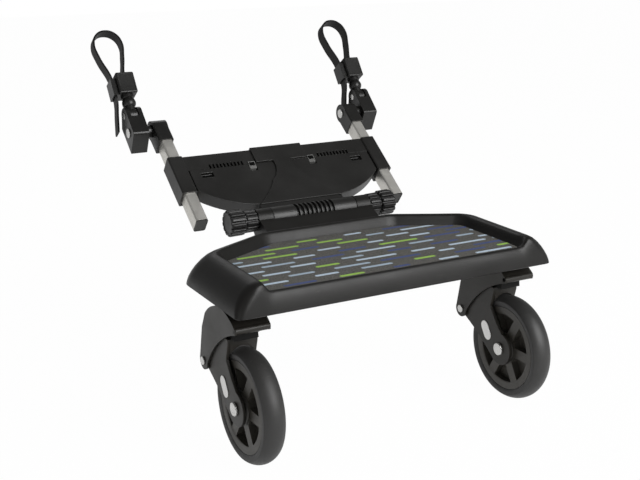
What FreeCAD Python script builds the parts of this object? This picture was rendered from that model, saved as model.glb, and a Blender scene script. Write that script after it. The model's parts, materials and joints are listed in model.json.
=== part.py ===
"""Ride-on board that hangs behind a stroller, at real size in millimetres.

X is to the rider's right, Y points forward to the stroller and Z is up. The heights are measured from
the ground and Y from the board's rear lower edge, until every piece is moved back by origin_y, which
puts the origin on the ground under the middle of the whole object.
"""
import FreeCAD, Part
import math
import os
import re
import Sketcher

SIZES = {
    # Where the origin lies, and the play between pieces
    "origin_y": 212,
    "running_play": 0.05,
    "slide_play": 0.3,
    "seat_play": 0.1,
    # Standing board
    "board_width": 400,
    "board_z": 171,
    "board_side_length": 140.4,
    "board_far_y": 190,
    "board_far_width": 184,
    "crease_height": 8,
    "crease_inset": 2.5,
    "shoulder_height": 21,
    "shoulder_inset": 11,
    "crest_height": 34,
    "crest_inset": 29,
    "crest_near_y": 12,
    "crest_corner_y": 128,
    "crest_far_y": 173,
    "crest_far_width": 173.4,
    "crest_flat": 5,
    "well_depth": 14.5,
    "well_slope": 7,
    "lip_width": 2.5,
    "lip_drop": 11,
    "ridge_end_run": 11.4,
    "shell_wall": 3.5,
    "floor_thickness": 3.5,
    "rib_thickness": 2.5,
    "rib_gap": 2,
    "rib_pitch_x": 52,
    "rib_pitch_y": 46,
    "mat_thickness": 3,
    # Casters
    "caster_inset": 27.7,
    "swivel_y": 66,
    "swivel_bolt_radius": 5,
    "swivel_head_radius": 9,
    "swivel_head_height": 6,
    "swivel_boss_radius": 14,
    "swivel_bolt_reach": 13,
    "bush_thickness": 3.3,
    "bracket_boss_depth": 9.5,
    "bracket_width": 41,
    "bracket_plate": 2.5,
    "hood_near_y": 23.5,
    "hood_near_z": 147,
    "hood_lip": 5.6,
    "hood_far_y": 99,
    "hood_far_z": 148,
    "hood_rise": 15.4,
    "hood_wall": 3.2,
    "bracket_waist_y": 108,
    "bracket_waist_z": 130,
    "bracket_notch": 8.6,
    "pivot_y": 106,
    "pivot_z": 91,
    "pivot_ear_radius": 10,
    "pivot_pin_radius": 3.2,
    "pivot_head_radius": 4.7,
    "pivot_head_height": 2,
    "wheel_y": 32.5,
    "wheel_radius": 62.5,
    "leg_gap": 27,
    "leg_thickness": 4,
    "leg_boss_radius": 19.5,
    "fork_ear_radius": 9.5,
    "fork_bridge_y": 48,
    "fork_bridge_z": 128,
    "fork_bridge_length": 24,
    "fork_bridge_height": 6,
    "leg_step_y": 5,
    "leg_step_z": 18,
    "leg_hollow": 3,
    "leg_toe_hollow": 2,
    "block_length": 14,
    "axle_radius": 4,
    "axle_head_radius": 7.5,
    "axle_head_height": 3,
    "tyre_width": 25,
    "tyre_wall": 5.5,
    "tyre_crown": 5.5,
    "tyre_depth": 12.5,
    "rim_width": 22,
    "rim_depth": 9,
    "web_thickness": 20,
    "web_skin": 2,
    "hub_width": 24,
    "hub_radius": 16,
    "hub_flare": 1,
    "rim_taper": 2,
    "bearing_radius": 11,
    "bearing_width": 7,
    "spoke_width": 12,
    "spoke_count": 6,
    "opening_corner": 2.5,
    "opening_margin": 2.5,
    "opening_rise": 2.5,
    "insert_length": 24,
    "insert_width": 13,
    "insert_thickness": 0.8,
    "insert_y": 58,
    "insert_z": 78,
    "insert_tilt": 58,
    # Hinge between the board and the towing arm
    "hinge_y": 212,
    "hinge_z": 209,
    "hinge_rod_radius": 4,
    "hinge_rod_inset": 4,
    "barrel_radius": 13,
    "barrel_length": 115,
    "barrel_slots": 9,
    "barrel_slot_width": 3.4,
    "barrel_slot_pitch": 6,
    "barrel_slot_depth": 3.5,
    "lug_width": 19,
    "lug_gap": 0.5,
    "barrel_play": 1,
    "fold_clearance": 3,
    "bracket_foot_z": 176,
    "bracket_foot_y": 206,
    "bracket_foot_rise": 4,
    "screw_radius": 2,
    "screw_head_radius": 4,
    "screw_head_height": 4,
    "screw_head_y": 172,
    "screw_z": 180,
    "screw_length": 24,
    "screw_x": 67,
    "washer_radius": 10,
    "washer_thickness": 1,
    "knob_inner_length": 16,
    "knob_outer_length": 19.5,
    "knob_inner_radius": 13.8,
    "knob_outer_radius": 15.5,
    "knob_chamfer": 1.5,
    "knob_flutes": 12,
    "flute_radius": 2.3,
    # Towing arm, in its own frame: across the board, up along the arm and square to the arm
    "arm_angle": 36.5,
    "fan_top": -7,
    "fan_thickness": 18,
    "fan_edge": 126.5,
    "fan_corner_v": 61.4,
    "fan_root_v": 28.5,
    "fan_rise": 6,
    "fan_far_v": 93.5,
    "fan_wall": 3,
    "channel_floor": 3,
    "channel_half_length": 100,
    "cover_thickness": 2,
    "cover_root_width": 114,
    "cover_root_v": 27,
    "cover_neck_width": 25,
    "cover_neck_v": 94.5,
    "cover_waist_width": 50,
    "cover_waist_v": 63,
    "cover_hollow": 4.5,
    "cover_cap_width": 72,
    "cover_far_lip": 1.8,
    "strip_length": 23,
    "strip_start": 4,
    "rack_slots": 10,
    "rack_slot_width": 2.6,
    "rack_pitch": 4.8,
    "rack_start": 53,
    "rack_slot_length": 6.5,
    "rack_slot_depth": 4,
    "sleeve_inner_u": 128,
    "sleeve_width": 19.5,
    "sleeve_near_v": 59,
    "sleeve_top": -5,
    "sleeve_height": 25,
    "sleeve_round": 2,
    "tube_u": 137,
    "tube_w": -17,
    "tube_width": 15,
    "tube_height": 20,
    "tube_wall": 1.5,
    "tube_round": 2.5,
    "tube_near_v": 17,
    "tube_far_v": 166.5,
    "plug_head": 1.5,
    "plug_depth": 14,
    "cap_near_v": 147,
    "cap_wall_round": 2,
    "link_pin_v": 174,
    "link_pin_radius": 4,
    "link_pin_head_radius": 6,
    "link_pin_head_height": 1.5,
    "link_u": 165.5,
    "link_width": 21,
    "link_boss_radius": 8,
    "link_heel": 19,
    "link_bottom_w": -35,
    "link_round": 4,
    "link_toe_inset": 1.5,
    "link_toe_rise": 3,
    "link_top_inset": 6,
    "knuckle_reach": 23,
    "knuckle_w": -11,
    "knuckle_ear_radius": 10.5,
    "knuckle_pin_radius": 3,
    "knuckle_pin_head": 0.6,
    "knuckle_head_step": 1,
    "eye_radius": 8.5,
    "eye_width": 9.8,
    # Buckle and strap, measured up from the knuckle pin along the buckle
    "buckle_angle": 54.5,
    "buckle_width": 23.6,
    "buckle_depth": 24,
    "buckle_base": 27,
    "buckle_length": 29,
    "buckle_round": 2,
    "buckle_bite": 2,
    "neck_radius": 6,
    "keeper_width": 6.7,
    "keeper_back": 7,
    "keeper_top_drop": 6,
    "strap_width": 14,
    "strap_thickness": 2.4,
    "strap_back": 2.5,
    "strap_near_x": 2,
    "strap_root_depth": 7,
    "strap_loop_radius": 18.5,
    "strap_loop_x": -8,
    "strap_loop_rise": 45,
    "strap_tail_length": 42,
    # Small catches in the arm
    "pawl_u": 42,
    "pawl_width": 9,
    "pawl_length": 7,
    "pawl_travel": 3,
    "pawl_depth": 7,
    "pawl_flag": 4,
    "pawl_flag_height": 0.8,
    "button_u": 105.5,
    "button_width": 15,
    "button_v": 83.8,
    "button_length": 6.5,
    "button_depth": 7,
    "button_travel": 2.5,
    "button_drop": 3,
}

doc = FreeCAD.newDocument("buggy_board")
sheet = doc.addObject("Spreadsheet::Sheet", "Sizes")
for row, (alias, value) in enumerate(SIZES.items(), start=1):
    sheet.set(f"A{row}", alias)
    sheet.set(f"B{row}", str(value))
    sheet.setAlias(f"B{row}", alias)
doc.recompute()

SIDES = (("left", -1), ("right", 1))
CASTER_X = "(board_width / 2 - caster_inset)"
# The knuckle's place up the arm, and the link's lower end
KNUCKLE_V = "(link_pin_v + knuckle_reach)"
LINK_NEAR_V = "(link_pin_v - link_heel)"
# The ends of the hood's inner arc, as (along the board, height)
HOOD_INSIDE_NEAR = ("(hood_near_y - hood_wall)", "(hood_near_z + hood_lip - hood_wall * 1.4)")
HOOD_INSIDE_FAR = ("(hood_far_y - hood_wall * 0.7)", "(hood_far_z - hood_wall * 0.8)")
subparts = []


def named(expression):
    """Write an expression of the sheet's names in the form that objects are bound to."""
    return re.sub(r"[a-z][a-z0-9_]*",
                  lambda word: "Sizes." + word[0] if word[0] in SIZES else word[0], str(expression))


def size(expression):
    """The present value of an expression of the sheet's names."""
    return float(sheet.evalExpression(named(expression)))


def bind(thing, **properties):
    """Tie properties to expressions; two underscores stand for a dot."""
    for name, expression in properties.items():
        thing.setExpression(name.replace("__", "."), named(expression))


def keep(thing, name):
    """Count an object as a finished sub-part of the board."""
    thing.Label = name
    subparts.append(thing)
    return thing


def place(thing, across="0", along="0", up="0", tilt="0"):
    """Set a piece at its place on the board, turned about X."""
    thing.Placement = FreeCAD.Placement(FreeCAD.Vector(),
                                        FreeCAD.Rotation(FreeCAD.Vector(1, 0, 0), size(tilt)))
    thing.setExpression("Placement.Base.x", named(across))
    thing.setExpression("Placement.Base.y", named(f"{along} - origin_y"))
    thing.setExpression("Placement.Base.z", named(up))


def new_body(name):
    return keep(doc.addObject("PartDesign::Body", name), name)


def origin_feature(body, role):
    return next(feature for feature in body.Origin.OriginFeatures if feature.Role == role)


def new_sketch(body, plane, at="0"):
    sketch = body.newObject("Sketcher::SketchObject", "outline")
    sketch.AttachmentSupport = [(origin_feature(body, plane), "")]
    sketch.MapMode = "FlatFace"
    bind(sketch, AttachmentOffset__Base__z=at)
    return sketch


def arc_middle(start, end, rise):
    """The middle of an arc that stands off its chord by rise, to the right of the way it runs."""
    chord = end - start
    sideways = FreeCAD.Vector(chord.y, -chord.x, 0)
    sideways.normalize()
    return (start + end) * 0.5 + sideways * rise


def closed_outline(sketch, points):
    """Draw a closed line, anticlockwise, through points given as (across, up), with the next edge's rise
    as a third value where that edge is an arc that swells outward, or inward where the rise is negative."""
    first = sketch.GeometryCount
    count = len(points)
    corners = [FreeCAD.Vector(size(point[0]), size(point[1]), 0) for point in points]
    starts = []
    for index, point in enumerate(points):
        start = corners[index]
        end = corners[(index + 1) % count]
        if len(point) == 2:
            sketch.addGeometry(Part.LineSegment(start, end))
            starts.append(1)
            continue
        rise = size(point[2])
        ends = (start, end) if rise > 0 else (end, start)
        sketch.addGeometry(Part.Arc(ends[0], arc_middle(start, end, rise), ends[1]))
        starts.append(1 if rise > 0 else 2)
    for index, point in enumerate(points):
        following = (index + 1) % count
        sketch.addConstraint(Sketcher.Constraint(
            "Coincident", first + index, 3 - starts[index], first + following, starts[following]))
        for kind, expression, value in zip(("DistanceX", "DistanceY"), point, corners[index]):
            number = sketch.addConstraint(
                Sketcher.Constraint(kind, -1, 1, first + index, starts[index], value))
            sketch.setExpression(f"Constraints[{number}]", named(expression))
        if len(point) == 3:
            across, up, rise = point
            far_across, far_up = points[following][:2]
            chord = f"(({far_across} - ({across}))^2 + ({far_up} - ({up}))^2)"
            radius = f"({chord} / (8 * abs({rise})) + abs({rise}) / 2)"
            number = sketch.addConstraint(Sketcher.Constraint("Radius", first + index, size(radius)))
            sketch.setExpression(f"Constraints[{number}]", named(radius))
    return sketch


def circle(sketch, across, up, radius):
    """Draw a circle of a named radius."""
    index = sketch.addGeometry(
        Part.Circle(FreeCAD.Vector(size(across), size(up), 0), FreeCAD.Vector(0, 0, 1), size(radius)))
    for kind, expression in (("DistanceX", across), ("DistanceY", up)):
        number = sketch.addConstraint(Sketcher.Constraint(kind, -1, 1, index, 3, size(expression)))
        sketch.setExpression(f"Constraints[{number}]", named(expression))
    number = sketch.addConstraint(Sketcher.Constraint("Radius", index, size(radius)))
    sketch.setExpression(f"Constraints[{number}]", named(radius))
    return sketch


def rectangle(sketch, left, right, low, high):
    return closed_outline(sketch, [(left, low), (right, low), (right, high), (left, high)])


def pad(body, sketch, length, symmetric=False, reverse=False):
    feature = body.newObject("PartDesign::Pad", "pad")
    feature.Profile = sketch
    feature.SideType = "Symmetric" if symmetric else "One side"
    feature.Reversed = reverse
    bind(feature, Length=length)
    return feature


def cut(body, sketch, length, symmetric=False, reverse=False):
    """Cut a pocket against the sketch's normal, or along it where reversed, and see that it cuts."""
    doc.recompute()
    before = body.Shape.Volume
    feature = body.newObject("PartDesign::Pocket", "pocket")
    feature.Profile = sketch
    feature.SideType = "Symmetric" if symmetric else "One side"
    feature.Reversed = reverse
    bind(feature, Length=length)
    doc.recompute()
    if body.Shape.Volume > before - 1e-3:
        raise RuntimeError(f"a pocket of {body.Label} cuts nothing")
    return feature


def spin(body, sketch, axis):
    feature = body.newObject("PartDesign::Revolution", "revolution")
    feature.Profile = sketch
    feature.ReferenceAxis = (origin_feature(body, axis), [""])
    feature.Angle = 360
    return feature


def loft(body, sketches, kind="PartDesign::AdditiveLoft"):
    feature = body.newObject(kind, "loft")
    feature.Profile = sketches[0]
    feature.Sections = sketches[1:]
    feature.Ruled = True
    return feature


def around(body, feature, axis, count):
    """Repeat a feature round an axis."""
    pattern = body.newObject("PartDesign::PolarPattern", "round_pattern")
    pattern.Originals = [feature]
    pattern.Axis = (origin_feature(body, axis), [""])
    pattern.Angle = 360
    bind(pattern, Occurrences=count)
    body.Tip = pattern
    return pattern


def soften(body, radius, chosen):
    """Round the edges that chosen picks out."""
    doc.recompute()
    base = body.Tip
    edges = [f"Edge{number}" for number, edge in enumerate(base.Shape.Edges, start=1) if chosen(edge)]
    if not edges:
        raise RuntimeError(f"no edge of {body.Label} to round")
    feature = body.newObject("PartDesign::Fillet", "round")
    feature.Base = (base, edges)
    bind(feature, Radius=radius)
    doc.recompute()
    return feature


def along(axis):
    """A test for straight edges that lie along an axis."""
    def test(edge):
        box = edge.BoundBox
        spans = {"x": box.XLength, "y": box.YLength, "z": box.ZLength}
        others = [span for name, span in spans.items() if name != axis]
        return spans[axis] > 1 and max(others) < 1e-4
    return test


def turned_on_x(name, profile):
    """A round piece about X, from its half profile of (along, radius)."""
    body = new_body(name)
    spin(body, closed_outline(new_sketch(body, "XY_Plane"), profile), "X_Axis")
    return body


def turned_on_z(name, profile):
    """A round piece about Z, from its half profile of (radius, height)."""
    body = new_body(name)
    spin(body, closed_outline(new_sketch(body, "XZ_Plane"), profile), "Z_Axis")
    return body


def stepped_pin(name, radius, half_length, head_radius, head_height):
    """A pin about X with a flat head at each end."""
    end = f"({half_length} + {head_height})"
    return turned_on_x(name, [
        (f"-{end}", "0"), (end, "0"), (end, head_radius), (half_length, head_radius), (half_length, radius),
        (f"-{half_length}", radius), (f"-{half_length}", head_radius), (f"-{end}", head_radius)])


def cylinder(name, radius, length, position, toward):
    """A plain cylinder that starts at a place and points along an axis."""
    piece = doc.addObject("Part::Cylinder", name)
    bind(piece, Radius=radius, Height=length)
    piece.Placement = FreeCAD.Placement(
        FreeCAD.Vector(), FreeCAD.Rotation(FreeCAD.Vector(0, 0, 1), FreeCAD.Vector(*toward)))
    for axis, expression in zip("xyz", position):
        piece.setExpression(f"Placement.Base.{axis}", named(expression))
    return piece


def bored(name, outer, bore):
    piece = doc.addObject("Part::Cut", name)
    piece.Base = outer
    piece.Tool = bore
    return piece


def group(name, pieces):
    """Several like solids that share one node."""
    piece = doc.addObject("Part::Compound", name)
    piece.Links = pieces
    return keep(piece, name)


def board_outline(body, height, inset, near, corner, far, far_width):
    """The board's six-sided outline at one height."""
    side = f"(board_width / 2 - ({inset}))"
    bend = f"(({far_width}) / 2)"
    return closed_outline(new_sketch(body, "XY_Plane", height), [
        (f"-{side}", near), (side, near), (side, corner), (bend, far), (f"-{bend}", far),
        (f"-{side}", corner)])


def far_wall_y(height):
    """The far wall's outside at a height above the board's lower edge."""
    return f"(board_far_y - ({height}) / crest_height * (board_far_y - crest_far_y))"


def share(start, end, height, low, high):
    """A value on the straight way between two heights."""
    return f"(({start}) + (({end}) - ({start})) * (({height}) - ({low})) / (({high}) - ({low})))"


def make_board_tray():
    """The moulded board: flared walls, raised rim on three sides, sunk floor, ribbed hollow underside."""
    body = new_body("board_tray")
    crease_near = "crest_near_y * crease_height / crest_height"
    crease_corner = share("board_side_length", "crest_corner_y", "crease_height", "0", "crest_height")
    crease_far_width = share("board_far_width", "crest_far_width", "crease_height", "0", "crest_height")
    shoulder_corner = share("board_side_length", "crest_corner_y", "shoulder_height", "0", "crest_height")
    shoulder_far_width = share("board_far_width", "crest_far_width", "shoulder_height", "0", "crest_height")
    loft(body, [
        board_outline(body, "board_z", "0", "0", "board_side_length", "board_far_y", "board_far_width"),
        board_outline(body, "board_z + crease_height", "crease_inset", crease_near, crease_corner,
                      far_wall_y("crease_height"), crease_far_width),
        board_outline(body, "board_z + shoulder_height", "shoulder_inset",
                      "crest_near_y * shoulder_height / crest_height", shoulder_corner,
                      far_wall_y("shoulder_height"), shoulder_far_width),
        board_outline(body, "board_z + crest_height", "crest_inset", "crest_near_y", "crest_corner_y",
                      "crest_far_y", "crest_far_width")])
    well_near = "(crest_near_y * (crest_height - lip_drop) / crest_height + lip_width)"
    floor = "(board_z + crest_height - well_depth)"
    well_inset = "(crest_flat + well_slope)"
    loft(body, [
        board_outline(body, floor, f"crest_inset + {well_inset}", well_near,
                      f"crest_corner_y - {well_inset} / 2",
                      f"crest_far_y - {well_inset}", f"crest_far_width - {well_inset}"),
        board_outline(body, "board_z + crest_height", "crest_inset + crest_flat", well_near,
                      "crest_corner_y - crest_flat / 2", "crest_far_y - crest_flat",
                      "crest_far_width - crest_flat")],
        "PartDesign::SubtractiveLoft")
    lip = "(board_z + crest_height - lip_drop)"
    ridge_foot = "(crest_near_y * (crest_height - lip_drop) / crest_height)"
    above = "(board_z + crest_height + lip_drop)"
    notch = closed_outline(new_sketch(body, "YZ_Plane"), [
        (f"-{well_near}", lip), (ridge_foot, lip),
        (f"{ridge_foot} + ridge_end_run", "board_z + crest_height"),
        (f"{ridge_foot} + ridge_end_run", above), (f"-{well_near}", above)])
    cut(body, notch, "board_width * 2", symmetric=True)
    hollow_top = f"({floor} - floor_thickness)"
    rise = f"({hollow_top} - board_z)"
    upper_inset = share("crease_inset", "crest_inset", rise, "crease_height", "crest_height")
    hollow = [
        board_outline(body, "board_z", "shell_wall", "shell_wall", "board_side_length - shell_wall / 2",
                      "board_far_y - shell_wall", "board_far_width - shell_wall"),
        board_outline(body, hollow_top, f"{upper_inset} + shell_wall * 1.4",
                      f"crest_near_y * {rise} / crest_height + shell_wall * 1.4",
                      share("board_side_length", "crest_corner_y", rise, "0",
                            "crest_height") + " - shell_wall * 1.4",
                      far_wall_y(rise) + " - shell_wall * 1.4",
                      share("board_far_width", "crest_far_width", rise, "0",
                            "crest_height") + " - shell_wall")]
    loft(body, hollow, "PartDesign::SubtractiveLoft")
    rib_depth = f"{hollow_top} - board_z - rib_gap + floor_thickness / 2"
    for column in (-2, -1, 0, 1, 2):
        middle = f"({column} * rib_pitch_x)"
        last = far_wall_y(rise) + " - shell_wall" if abs(column) < 2 else "board_side_length"
        ribs = new_sketch(body, "XY_Plane", "board_z + rib_gap")
        rectangle(ribs, f"{middle} - rib_thickness / 2", f"{middle} + rib_thickness / 2",
                  f"crest_near_y * {rise} / crest_height + shell_wall", last)
        pad(body, ribs, rib_depth)
    for line in (1, 2):
        ribs = new_sketch(body, "XY_Plane", "board_z + rib_gap")
        reach = f"(board_width / 2 - {upper_inset} - shell_wall)"
        rectangle(ribs, f"-{reach}", reach, f"{line} * rib_pitch_y - rib_thickness / 2",
                  f"{line} * rib_pitch_y + rib_thickness / 2")
        pad(body, ribs, rib_depth)
    for side in (f"-{CASTER_X}", CASTER_X):
        boss = circle(new_sketch(body, "XY_Plane", "board_z"), side, "swivel_y", "swivel_boss_radius")
        pad(body, boss, f"{hollow_top} - board_z + floor_thickness / 2")
    for side in (f"-{CASTER_X}", CASTER_X):
        bore = circle(new_sketch(body, "XY_Plane", "board_z"), side, "swivel_y",
                      "swivel_bolt_radius + running_play")
        cut(body, bore, "swivel_bolt_reach + seat_play", reverse=True)
    for side in ("-screw_x", "screw_x"):
        hole = circle(new_sketch(body, "XZ_Plane", "-board_far_y"), side, "screw_z",
                      "screw_radius + seat_play")
        cut(body, hole, "shell_wall * 8", symmetric=True)
    place(body)


def make_grip_mat():
    """The grip mat that lies in the board's well."""
    body = new_body("grip_mat")
    floor = "(board_z + crest_height - well_depth)"
    inset = "(crest_flat + well_slope + slide_play)"
    near = "(crest_near_y * (crest_height - lip_drop) / crest_height + lip_width + slide_play)"
    sketch = board_outline(body, floor, f"crest_inset + {inset}", near, f"crest_corner_y - {inset} / 2",
                           f"crest_far_y - {inset}", f"crest_far_width - {inset}")
    pad(body, sketch, "mat_thickness")
    place(body)


def make_caster(side, sign):
    """One swivel caster: bracket with a hood, sprung fork and wheel."""
    middle = f"({sign} * {CASTER_X})"
    bush_low = "(board_z - bush_thickness)"
    boss_top = f"({bush_low} - seat_play)"
    boss_low = f"({boss_top} - bracket_boss_depth)"
    bush = turned_on_z(f"swivel_bush_{side}", [
        ("swivel_bolt_radius + running_play", bush_low), ("swivel_boss_radius", bush_low),
        ("swivel_boss_radius", "board_z"), ("swivel_bolt_radius + running_play", "board_z")])
    place(bush, middle, "swivel_y")
    head_top = f"({boss_low} - seat_play)"
    bolt = turned_on_z(f"swivel_bolt_{side}", [
        ("0", f"{head_top} - swivel_head_height"),
        ("swivel_head_radius", f"{head_top} - swivel_head_height"),
        ("swivel_head_radius", head_top), ("swivel_bolt_radius", head_top),
        ("swivel_bolt_radius", "board_z + swivel_bolt_reach"), ("0", "board_z + swivel_bolt_reach")])
    place(bolt, middle, "swivel_y")

    bracket = new_body(f"caster_bracket_{side}")
    ear_near = "(pivot_y - pivot_ear_radius)"
    outline = closed_outline(new_sketch(bracket, "YZ_Plane"), [
        ("hood_near_y", "hood_near_z", "-bracket_notch"), (ear_near, "pivot_z"),
        ("pivot_y + pivot_ear_radius", "pivot_z"), ("bracket_waist_y", "bracket_waist_z"),
        ("hood_far_y", "hood_far_z", "hood_rise"), ("hood_near_y", "hood_near_z + hood_lip")])
    pad(bracket, outline, "bracket_width", symmetric=True)
    ears = circle(new_sketch(bracket, "YZ_Plane"), "pivot_y", "pivot_z", "pivot_ear_radius")
    pad(bracket, ears, "bracket_width", symmetric=True)
    inside = closed_outline(new_sketch(bracket, "YZ_Plane"), [
        ("hood_near_y - hood_wall", "pivot_z - 2 * pivot_ear_radius"),
        ("pivot_y + 2 * pivot_ear_radius", "pivot_z - 2 * pivot_ear_radius"),
        ("pivot_y + 2 * pivot_ear_radius", "bracket_waist_z"),
        ("bracket_waist_y - hood_wall * 0.9", "bracket_waist_z"),
        (*HOOD_INSIDE_FAR, "hood_rise"), HOOD_INSIDE_NEAR])
    cut(bracket, inside, "bracket_width - 2 * bracket_plate", symmetric=True)
    boss = circle(new_sketch(bracket, "XY_Plane", boss_low), "0", "swivel_y", "swivel_boss_radius")
    pad(bracket, boss, "bracket_boss_depth")
    bore = circle(new_sketch(bracket, "XY_Plane", boss_low), "0", "swivel_y",
                  "swivel_bolt_radius + running_play")
    cut(bracket, bore, "bracket_boss_depth * 3", symmetric=True)
    pivot = circle(new_sketch(bracket, "YZ_Plane"), "pivot_y", "pivot_z", "pivot_pin_radius + running_play")
    cut(bracket, pivot, "bracket_width * 2", symmetric=True)
    place(bracket, middle)

    pin = stepped_pin(f"fork_pin_{side}", "pivot_pin_radius", "(bracket_width / 2)", "pivot_head_radius",
                      "pivot_head_height")
    place(pin, middle, "pivot_y", "pivot_z")
    make_fork(side, middle)
    make_suspension_block(side, middle)
    make_wheel(side, middle)


def make_fork(side, middle):
    """The trailing fork: two flat legs, a bridge over the wheel, the axle and its inserts."""
    fork = new_body(f"fork_{side}")
    leg_outline = [
        ("pivot_y - fork_ear_radius * 0.5", "pivot_z - fork_ear_radius * 0.8"),
        ("pivot_y", "pivot_z"), ("pivot_y - fork_ear_radius * 0.2", "pivot_z + fork_ear_radius * 0.95"),
        ("fork_bridge_y + fork_bridge_length", "fork_bridge_z + fork_bridge_height"),
        ("fork_bridge_y", "fork_bridge_z + fork_bridge_height"), ("fork_bridge_y", "fork_bridge_z"),
        ("fork_bridge_y + leg_step_y", "fork_bridge_z - leg_step_z", "-leg_hollow"),
        ("wheel_y - leg_boss_radius * 0.9", "wheel_radius + leg_boss_radius * 0.4"),
        ("wheel_y", "wheel_radius"),
        ("wheel_y + leg_boss_radius * 0.65", "wheel_radius - leg_boss_radius * 0.75", "-leg_toe_hollow")]
    bridge = rectangle(new_sketch(fork, "YZ_Plane"), "fork_bridge_y", "fork_bridge_y + fork_bridge_length",
                       "fork_bridge_z", "fork_bridge_z + fork_bridge_height")
    pad(fork, bridge, "leg_gap + 2 * leg_thickness", symmetric=True)
    for turn in (-1, 1):
        inside = f"{turn} * leg_gap / 2"
        leg = closed_outline(new_sketch(fork, "YZ_Plane", inside), leg_outline)
        ear = circle(new_sketch(fork, "YZ_Plane", inside), "pivot_y", "pivot_z", "fork_ear_radius")
        foot = circle(new_sketch(fork, "YZ_Plane", inside), "wheel_y", "wheel_radius", "leg_boss_radius")
        for sketch in (leg, ear, foot):
            pad(fork, sketch, "leg_thickness", reverse=turn < 0)
    for across, up, radius in (("pivot_y", "pivot_z", "pivot_pin_radius"),
                               ("wheel_y", "wheel_radius", "axle_radius")):
        hole = circle(new_sketch(fork, "YZ_Plane"), across, up, f"{radius} + running_play")
        cut(fork, hole, "leg_gap + 4 * leg_thickness", symmetric=True)
    place(fork, middle)

    axle = stepped_pin(f"axle_bolt_{side}", "axle_radius", "(leg_gap / 2 + leg_thickness)",
                       "axle_head_radius",
                       "axle_head_height")
    place(axle, middle, "wheel_y", "wheel_radius")

    inserts = []
    for turn in (-1, 1):
        pill = doc.addObject("PartDesign::Body", f"insert_{side}")
        straight = "((insert_length - insert_width) / 2)"
        round_end = "insert_width / 2 * 0.999"
        outline = closed_outline(new_sketch(pill, "YZ_Plane"), [
            (f"-{straight}", "-insert_width / 2"), (straight, "-insert_width / 2", round_end),
            (straight, "insert_width / 2"), (f"-{straight}", "insert_width / 2", round_end)])
        pad(pill, outline, "insert_thickness", reverse=turn < 0)
        place(pill, f"{middle} + {turn} * (leg_gap / 2 + leg_thickness)", "insert_y", "insert_z",
              "insert_tilt")
        inserts.append(pill)
    group(f"leg_inserts_{side}", inserts)


def under_hood(at):
    """The height of the hood's inner face over a point, less some play."""
    near, near_z = HOOD_INSIDE_NEAR
    far, far_z = HOOD_INSIDE_FAR
    radius = f"(({far} - ({near}))^2 / (8 * hood_rise) + hood_rise / 2)"
    off_middle = f"({at} - ({far} + {near}) / 2)"
    level = share(near_z, far_z, at, near, far)
    return f"({level} + hood_rise - {radius} + sqrt({radius}^2 - {off_middle}^2) - 2 * slide_play)"


def make_suspension_block(side, middle):
    """The rubber block between the fork's bridge and the hood."""
    block = new_body(f"suspension_block_{side}")
    low = "(fork_bridge_z + fork_bridge_height + seat_play)"
    far = "(swivel_y - swivel_boss_radius - slide_play)"
    near = f"({far} - block_length)"
    outline = closed_outline(new_sketch(block, "YZ_Plane"), [
        (near, low), (far, low), (far, under_hood(far)), (near, under_hood(near))])
    pad(block, outline, "leg_gap + leg_thickness", symmetric=True)
    place(block, middle)


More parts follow.
